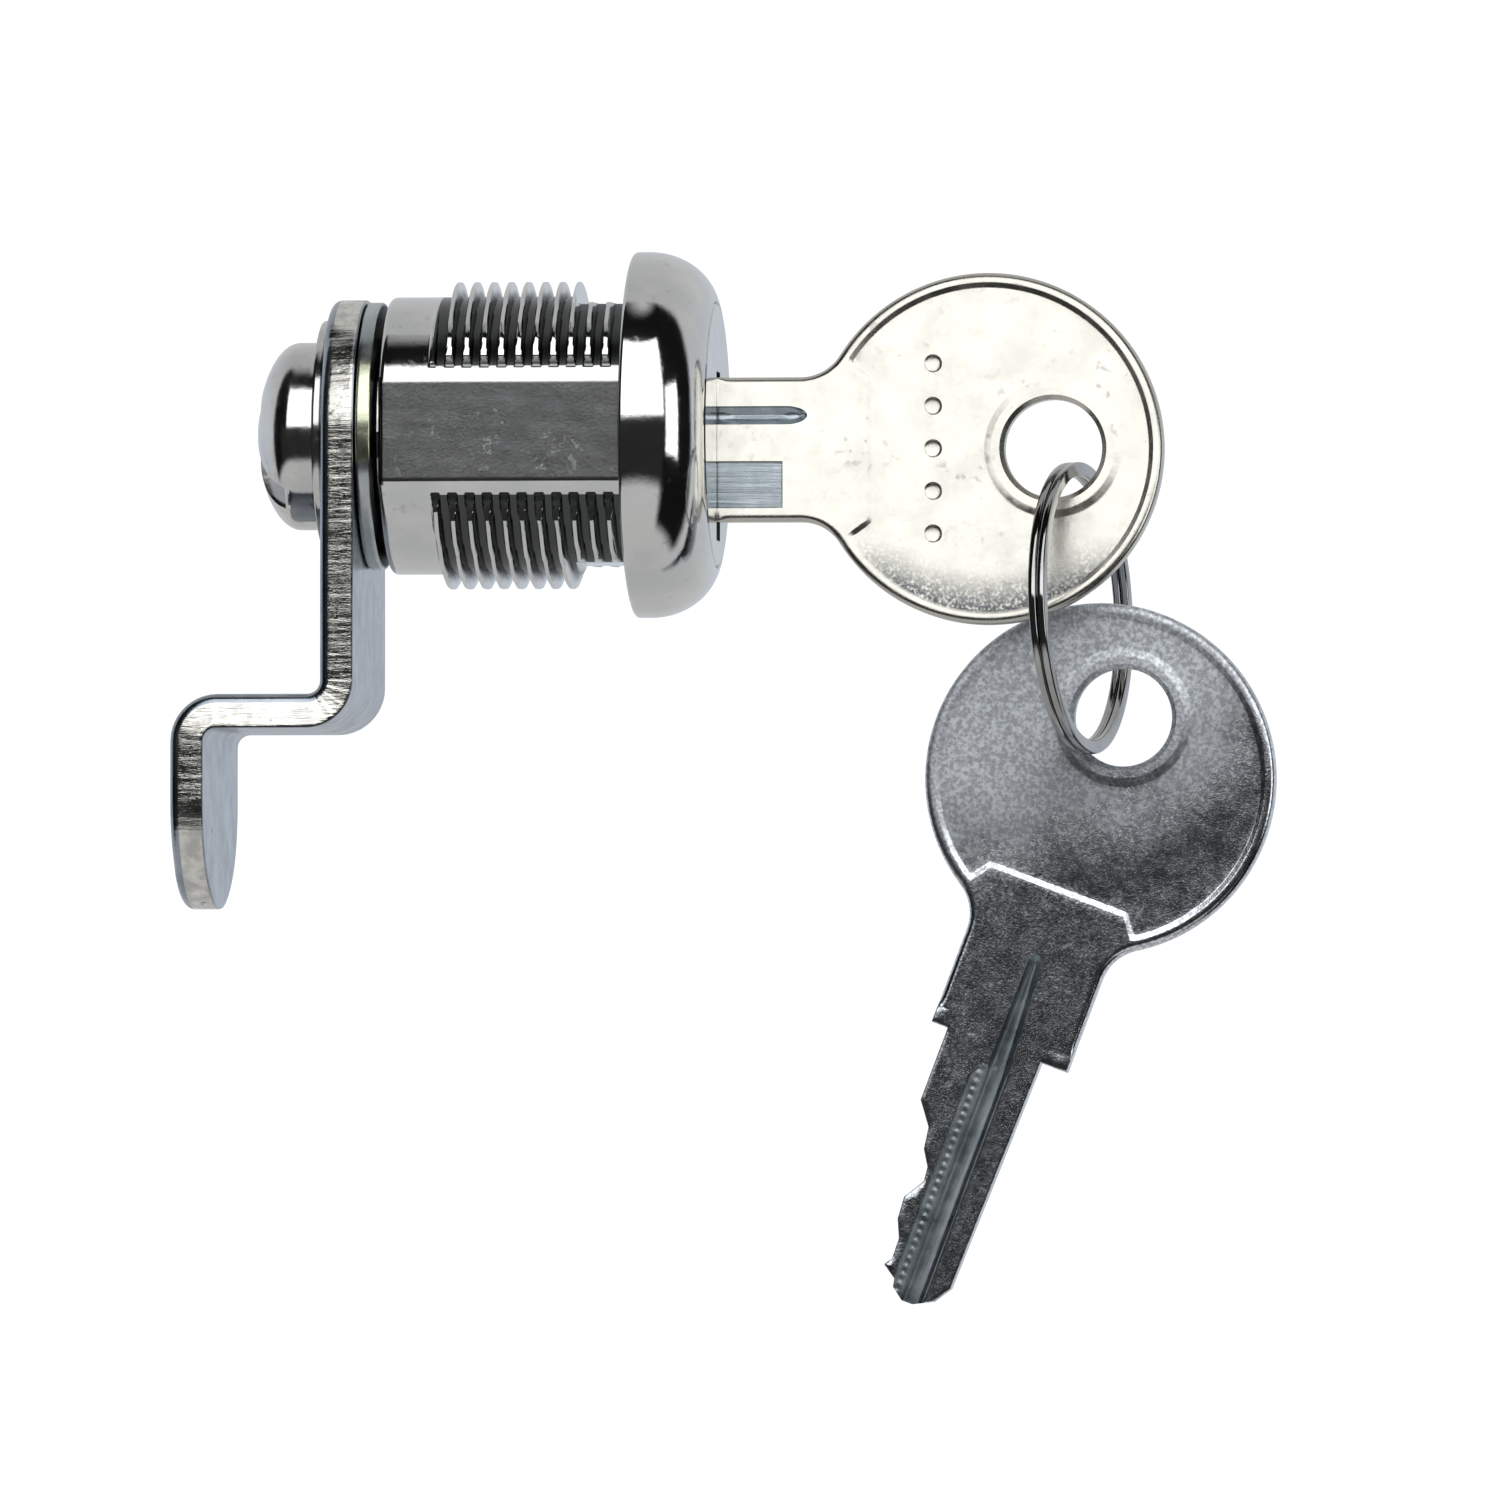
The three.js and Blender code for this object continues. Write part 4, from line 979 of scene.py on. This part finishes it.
# ---------- split ring ----------

def make_ring(material):
    """Two turns of flattened wire side by side, stepping across where the ends meet."""
    width, steps = RING_AXIAL / 2 - 0.02, 420
    middle = RING_RADIUS - RING_RADIAL / 2
    reach = math.radians(16)
    section = []
    radial, axial, corner = RING_RADIAL / 2, width / 2, 0.17
    for quarter, (r, a) in enumerate(((1, 1), (-1, 1), (-1, -1), (1, -1))):
        for t in np.linspace(0, math.pi / 2, 5):
            angle = quarter * math.pi / 2 + t
            section.append((r * (radial - corner) + corner * math.cos(angle),
                            a * (axial - corner) + corner * math.sin(angle)))
    section = np.array(section)
    rows = []
    start = math.radians(50)
    for phi in np.linspace(reach, 2 * TAU - reach, steps):
        across = np.clip((phi - TAU + reach) / (2 * reach), 0, 1)
        shift = (across * across * (3 - 2 * across) - 0.5) * (RING_AXIAL - width - 0.005)
        r, a = middle + section[:, 0], shift + section[:, 1]
        # The ring's axis is X before it is turned into place.
        rows.append(np.column_stack([a, r * np.cos(phi + start), r * np.sin(phi + start)]))
    ends = [row.mean(axis=0) * 0.1 + row * 0.9 for row in (rows[0], rows[-1])]
    points, faces = rod([ends[0], *rows, ends[1]])
    # The section runs the other way round from a rod's, so the faces turn over.
    faces = [(a, *reversed(rest)) for a, *rest in faces]
    ct, st = math.cos(RING_TURN), math.sin(RING_TURN)
    cl, sl = math.cos(RING_LEAN), math.sin(RING_LEAN)
    turn = np.array([[ct, -st, 0], [st, ct, 0], [0, 0, 1]])
    lean = np.array([[cl, 0, sl], [0, 1, 0], [-sl, 0, cl]])
    points = points @ (lean @ turn).T + np.array(RING_CENTRE)
    add_piece("split_ring_wire", points, faces, material, "split_ring", "split_ring",
              "ring_steel", None, 50)


# ---------- springs and carried-over parts ----------

def make_spring(name, node, turns, material):
    """A coil spring that fills its CAD node's box, and is squashed down onto its foot."""
    low, high = (np.array(corner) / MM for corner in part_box(node))
    foot = ((low[0] + high[0]) / 2, (low[1] + high[1]) / 2, low[2])
    height, radius = high[2] - low[2], (high[1] - low[1]) / 2
    wire, ring = 0.1, np.linspace(0, TAU, 9)[:-1]
    rows = []
    for t in np.linspace(0, 1, int(turns * 24) + 1):
        angle = TAU * turns * t
        centre = np.array([(radius - wire) * math.cos(angle), (radius - wire) * math.sin(angle),
                           wire + (height - 2 * wire) * t])
        out = np.array([math.cos(angle), math.sin(angle), 0])
        rows.append(centre + wire * (np.cos(ring)[:, None] * out
                                     + np.sin(ring)[:, None] * np.array([0, 0, 1])))
    points, faces = rod(rows)
    spring = add_piece(name, points + np.array(foot), faces, material, "plug", node,
                       "spring_steel", None, 60)
    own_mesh(spring)


def finish_node(name, material, width):
    """A carried-over CAD part: its own shape, with the sharp edges eased and a new finish."""
    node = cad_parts[name]
    node.data.materials.clear()
    node.data.materials.append(material)
    bevel = node.modifiers.new("eased", "BEVEL")
    bevel.width, bevel.segments, bevel.limit_method = width * MM, 2, "ANGLE"
    bevel.angle_limit = math.radians(40)
    bevel.use_clamp_overlap = True


# ---------- the lock ----------

make_camera()
make_world()
make_floor()
bpy.context.scene.view_settings.view_transform = "Standard"

# Its dark colour is painted shade, laid between the ridges and on the rear corner.
housing_nickel = metal("housing_nickel_plate", (0.8, 0.8, 0.79), (0.72, 0.73, 0.73), (0.06, 0.1),
                       grain=0.14, grain_scale=4000, specks=0.2, painted_shade=(0.09, 0.096, 0.1))
housing_flat = metal("housing_flat_plate", (0.62, 0.635, 0.645), (0.59, 0.605, 0.615), (0.205, 0.22),
                     grain=0.2, grain_scale=6000, gloss_scale=2400, brushed=(1.0, 1.0, 0.12),
                     brush=0.15, specks=0.3, veins=1.0)
plug_nickel, washer_nickel, screw_nickel = (
    metal(f"{part}_nickel_plate", light, (dark,) * 3, rough, grain=0.2, specks=0.2)
    for part, light, dark, rough in (("plug", (0.78, 0.78, 0.77), 0.68, (0.1, 0.18)),
                                     ("washer", (0.78, 0.77, 0.75), 0.62, (0.1, 0.2)),
                                     ("screw", (0.78, 0.77, 0.75), 0.66, (0.1, 0.18))))
cam_nickel = metal("cam_nickel_plate", (0.42, 0.46, 0.51), (0.33, 0.37, 0.42), (0.16, 0.26),
                   grain=0.3, specks=0.2)
cam_edge = metal("cam_sheared_edge", (0.9, 0.89, 0.84), (0.62, 0.61, 0.58), (0.09, 0.24),
                 grain=0.3, brushed=(0.04, 1.0, 1.0), brush=1.0, brush_scale=3000, specks=0.6,
                 gloss_scale=1500, cloud_scale=900)
# Its yellow-green band is a painted reflection, and its dark colour painted shade on the faces in the
# gaps.
zinc = metal("yellow_chromate", (0.56, 0.6, 0.6), (0.44, 0.49, 0.5), (0.2, 0.32), grain=0.3,
             specks=0.35, painted_shade=(0.02, 0.022, 0.025), reflection_band=(-1.8 * MM, 4.2 * MM, (0.74, 0.78, 0.58)))
# Its dark colour is painted shade inside the rim on the side of the cut edge.
bright_key = metal("bright_key_plate", (0.69, 0.675, 0.62), (0.65, 0.64, 0.585), (0.2, 0.3),
                   grain=0.3, specks=0.25, tip=9.0, painted_shade=(0.08, 0.09, 0.11), shade_scale=5200,
                   drawn=True)
worn_key = metal("worn_key_plate", (0.92, 0.96, 1.0), (0.52, 0.55, 0.6), (0.13, 0.2),
                 grain=0.45, grain_scale=9000, specks=0.2, cloud_scale=4200, gloss_scale=900,
                 matt=((0.72, -0.7), (7.5 * MM, 22.5 * MM), 0.58), drawn=True)
milled = metal("milled_key_cut", (0.5, 0.56, 0.6), (0.36, 0.42, 0.46), (0.26, 0.38),
               grain=0.2, brushed=(0.03, 1.0, 1.0), brush=0.9, tip=4.4, drawn=True)
ring_steel = metal("ring_steel_wire", (0.5, 0.5, 0.5), (0.4, 0.4, 0.4), (0.05, 0.1),
                   grain=0.1, specks=0.1)
brass = metal("tumbler_brass_sheet", (0.8, 0.6, 0.3), (0.62, 0.44, 0.2), (0.25, 0.4), grain=0.2)
spring_steel = metal("spring_wire", (0.6, 0.6, 0.6), (0.45, 0.45, 0.46), (0.2, 0.35), grain=0.1)

make_housing(housing_nickel, housing_flat)
make_stop_washer(zinc)
make_cam(cam_nickel, cam_edge)
make_lock_washer(washer_nickel)
make_screw(screw_nickel)
place_1, place_2 = key_places()
make_key("key_1_cut", "key_1", "key_1", "key_nickel", bright_key, milled, place_1)
make_key("key_2_cut", "key_2", "key_2", "worn_key_nickel", worn_key, milled, place_2)
make_ring(ring_steel)

finish_node("plug", plug_nickel, 0.08)
finish_node("plug_retainer", brass, 0.05)
for i in range(1, 6):
    finish_node(f"wafer_{i}", brass, 0.05)
    make_spring(f"wafer_spring_coil_{i}", f"wafer_spring_{i}", 5,
                spring_steel)
make_spring("retainer_spring_coil", "retainer_spring", 4, spring_steel)
